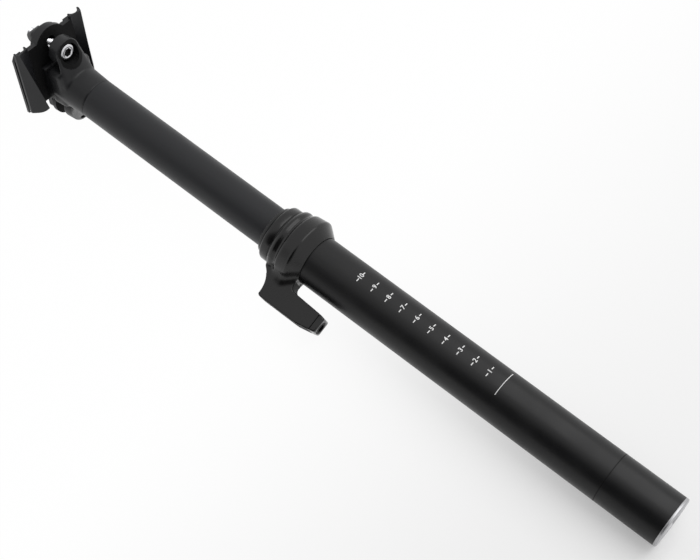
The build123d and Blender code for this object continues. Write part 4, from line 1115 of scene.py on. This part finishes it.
@dataclass
class Studio:
    """Camera, pale floor and soft lights. Lengths are in metres."""

    eye: Vector = field(default_factory=lambda: Vector((-741.3, 416.8, -35.1)) * MM)
    yaw: float = radians(-29.51)
    pitch: float = radians(16.78)
    roll: float = radians(-53.61)
    focal_px: float = 1572.0
    middle: Vector = field(default_factory=lambda: Vector((0, 0, 240 * MM)))
    floor_tilt: float = radians(2.3)
    floor_out: float = 15.6 * MM
    floor_size: float = 4.0
    floor_fade: Point = (0.3, 1.1)
    # Span along the floor's Y and the glow shares with which the post's shadow is painted lighter.
    shadow_span: Point = (-0.03, 0.27)
    shadow_lift: Point = (0.30, 0.99)
    flag_place: tuple[float, float, float] = (-0.35, 0.85, 0.08)
    flag_size: float = 1.9
    flag_edge: Point = (0.5, 0.20)
    key_from: tuple[float, float, float] = (0.55, 0.75, 0.75)
    key_distance: float = 1.2
    key_size: Point = (1.7, 1.1)
    key_power: float = 9.6
    sky_strength: float = 0.55

    def directions(self) -> tuple[Vector, Vector, Vector]:
        """Finds how the camera stands.

        Returns:
            Its right, up and look directions in the row frame.
        """
        look = Vector((cos(self.pitch) * cos(self.yaw), cos(self.pitch) * sin(self.yaw), sin(self.pitch)))
        level = look.cross(Vector((0, 0, 1))).normalized()
        high = level.cross(look)
        right = level * cos(self.roll) + high * sin(self.roll)
        up = high * cos(self.roll) - level * sin(self.roll)
        return right, up, look

    def camera(self) -> None:
        """Adds the camera at the photograph's viewpoint."""
        right, up, look = self.directions()
        data = bpy.data.cameras.new("camera")
        data.sensor_fit = "HORIZONTAL"
        data.sensor_width = SENSOR_WIDTH
        data.lens = self.focal_px * SENSOR_WIDTH / IMAGE_WIDTH
        data.clip_end = 20.0
        eye = bpy.data.objects.new("camera", data)
        eye.matrix_world = plane(self.eye, right, up, -look)
        bpy.context.scene.collection.objects.link(eye)
        bpy.context.scene.camera = eye

    def floor_paint(self) -> bpy.types.Material:
        """Mixes the floor's matte white, which keeps the shadow near the post and fades to plain white; a glow whose
        share rises along the floor's Y paints the post's shadow lighter towards the collar than at the foot.

        Returns:
            The paint, see-through from behind.
        """
        paint = bpy.data.materials.new("pale_floor")
        paint.use_nodes = True
        paint.node_tree.nodes.clear()
        graph = Graph(paint.node_tree)
        out = graph.add("OutputMaterial")
        matte = graph.add("BsdfDiffuse", {"Color": (0.99, 0.99, 0.99, 1.0)})
        glow = graph.add("Emission")
        clear = graph.add("BsdfTransparent")
        fade_in = graph.add("MixShader")
        see_through = graph.add("MixShader")
        place = graph.add("TexCoord")
        reach = graph.add("VectorMath", operation="LENGTH")
        fade = graph.ramp(self.floor_fade, smooth=True)
        parts = graph.add("SeparateXYZ")
        # Painted light: the glow's share rises along the floor's Y, so the post's shadow is painted lighter towards
        # the collar.
        lift = graph.ramp(self.shadow_span, self.shadow_lift, True)
        share = graph.add("Math", operation="MAXIMUM")
        back = graph.add("NewGeometry")
        graph.wire(
            (place, "Object", reach, 0), (reach, "Value", fade, "Value"), (place, "Object", parts, "Vector"),
            (parts, "Y", lift, "Value"), (fade, "Result", share, 0), (lift, "Result", share, 1),
            (share, "Value", fade_in, "Fac"), (matte, "BSDF", fade_in, 1), (glow, "Emission", fade_in, 2),
            (back, "Backfacing", see_through, "Fac"), (fade_in, "Shader", see_through, 1),
            (clear, "BSDF", see_through, 2), (see_through, "Shader", out, "Surface"))
        return paint

    def floor(self) -> None:
        """Adds the pale floor that the post lies on, behind it as the camera looks."""
        Bench.clear()
        bpy.ops.mesh.primitive_plane_add(size=self.floor_size)
        floor = Bench.added("floor")
        floor.matrix_world = facing(Vector((self.floor_out, 0, 0)),
                                    Vector((-cos(self.floor_tilt), 0, sin(self.floor_tilt))))
        floor.data.materials.append(self.floor_paint())

    def key(self) -> None:
        """Adds the soft key lamp, above and beside the camera."""
        right, up, look = self.directions()
        across, above, behind = self.key_from
        place = self.middle + (right * across + up * above - look * behind) * self.key_distance
        data = bpy.data.lights.new("key", "AREA")
        data.shape = "RECTANGLE"
        data.size, data.size_y = self.key_size
        data.energy = self.key_power
        lamp = bpy.data.objects.new("key", data)
        lamp.matrix_world = facing(place, place - self.middle)
        bpy.context.scene.collection.objects.link(lamp)

    def flag(self) -> None:
        """Adds the dark card beside the table, whose reflection darkens the post's near side."""
        Bench.clear()
        bpy.ops.mesh.primitive_plane_add(size=1.0)
        card = Bench.added("dark_card")
        place = Vector(self.flag_place)
        card.matrix_world = (facing(place, self.middle - place)
                             @ Matrix.Diagonal((self.flag_size, self.flag_size, 1, 1)))
        cloth = bpy.data.materials.new("dark_cloth")
        cloth.use_nodes = True
        graph = Graph(cloth.node_tree)
        shader = cloth.node_tree.nodes["Principled BSDF"]
        graph.fill(shader, {"Base Color": (0.03, 0.03, 0.03, 1.0), "Roughness": 0.9})
        spot = graph.add("TexCoord")
        reach = graph.add("VectorMath", operation="LENGTH")
        edge = graph.ramp(self.flag_edge, smooth=True)
        graph.wire((spot, "Object", reach, 0), (reach, "Value", edge, "Value"),
                   (edge, "Result", shader, "Alpha"))
        card.data.materials.append(cloth)
        card.visible_camera = False
        card.visible_shadow = False

    def world(self) -> None:
        """Adds the pale world, plain white where it is seen or mirrored."""
        world = bpy.context.scene.world or bpy.data.worlds.new("world")
        bpy.context.scene.world = world
        world.use_nodes = True
        world.node_tree.nodes.clear()
        graph = Graph(world.node_tree)
        out = graph.add("OutputWorld")
        sky = graph.add("Background", {"Strength": self.sky_strength, "Color": WHITE})
        seen = graph.add("Background", {"Strength": 1.0, "Color": WHITE})
        path = graph.add("LightPath")
        pick = graph.add("MixShader")
        either = graph.add("Math", operation="MAXIMUM")
        any_of = graph.add("Math", operation="MAXIMUM")
        graph.wire(
            (path, "Is Camera Ray", either, 0), (path, "Is Glossy Ray", either, 1), (either, "Value", any_of, 0),
            (path, "Is Transmission Ray", any_of, 1), (any_of, "Value", pick, "Fac"),
            (sky, "Background", pick, 1), (seen, "Background", pick, 2), (pick, "Shader", out, "Surface"))

    def build(self) -> None:
        """Builds the whole stage."""
        self.camera()
        self.floor()
        self.key()
        self.flag()
        self.world()
        bpy.context.scene.view_settings.view_transform = "Standard"


def main() -> None:
    """Builds the seatpost's looks in order."""
    logging.basicConfig(level=logging.INFO, format="%(message)s")
    dress_nodes()
    for assembly in (Collar(), Foot(), Head(), SaddleClamp(), ReturnSpring(), Print(), Studio()):
        assembly.build()


if __name__ == "__main__":
    main()
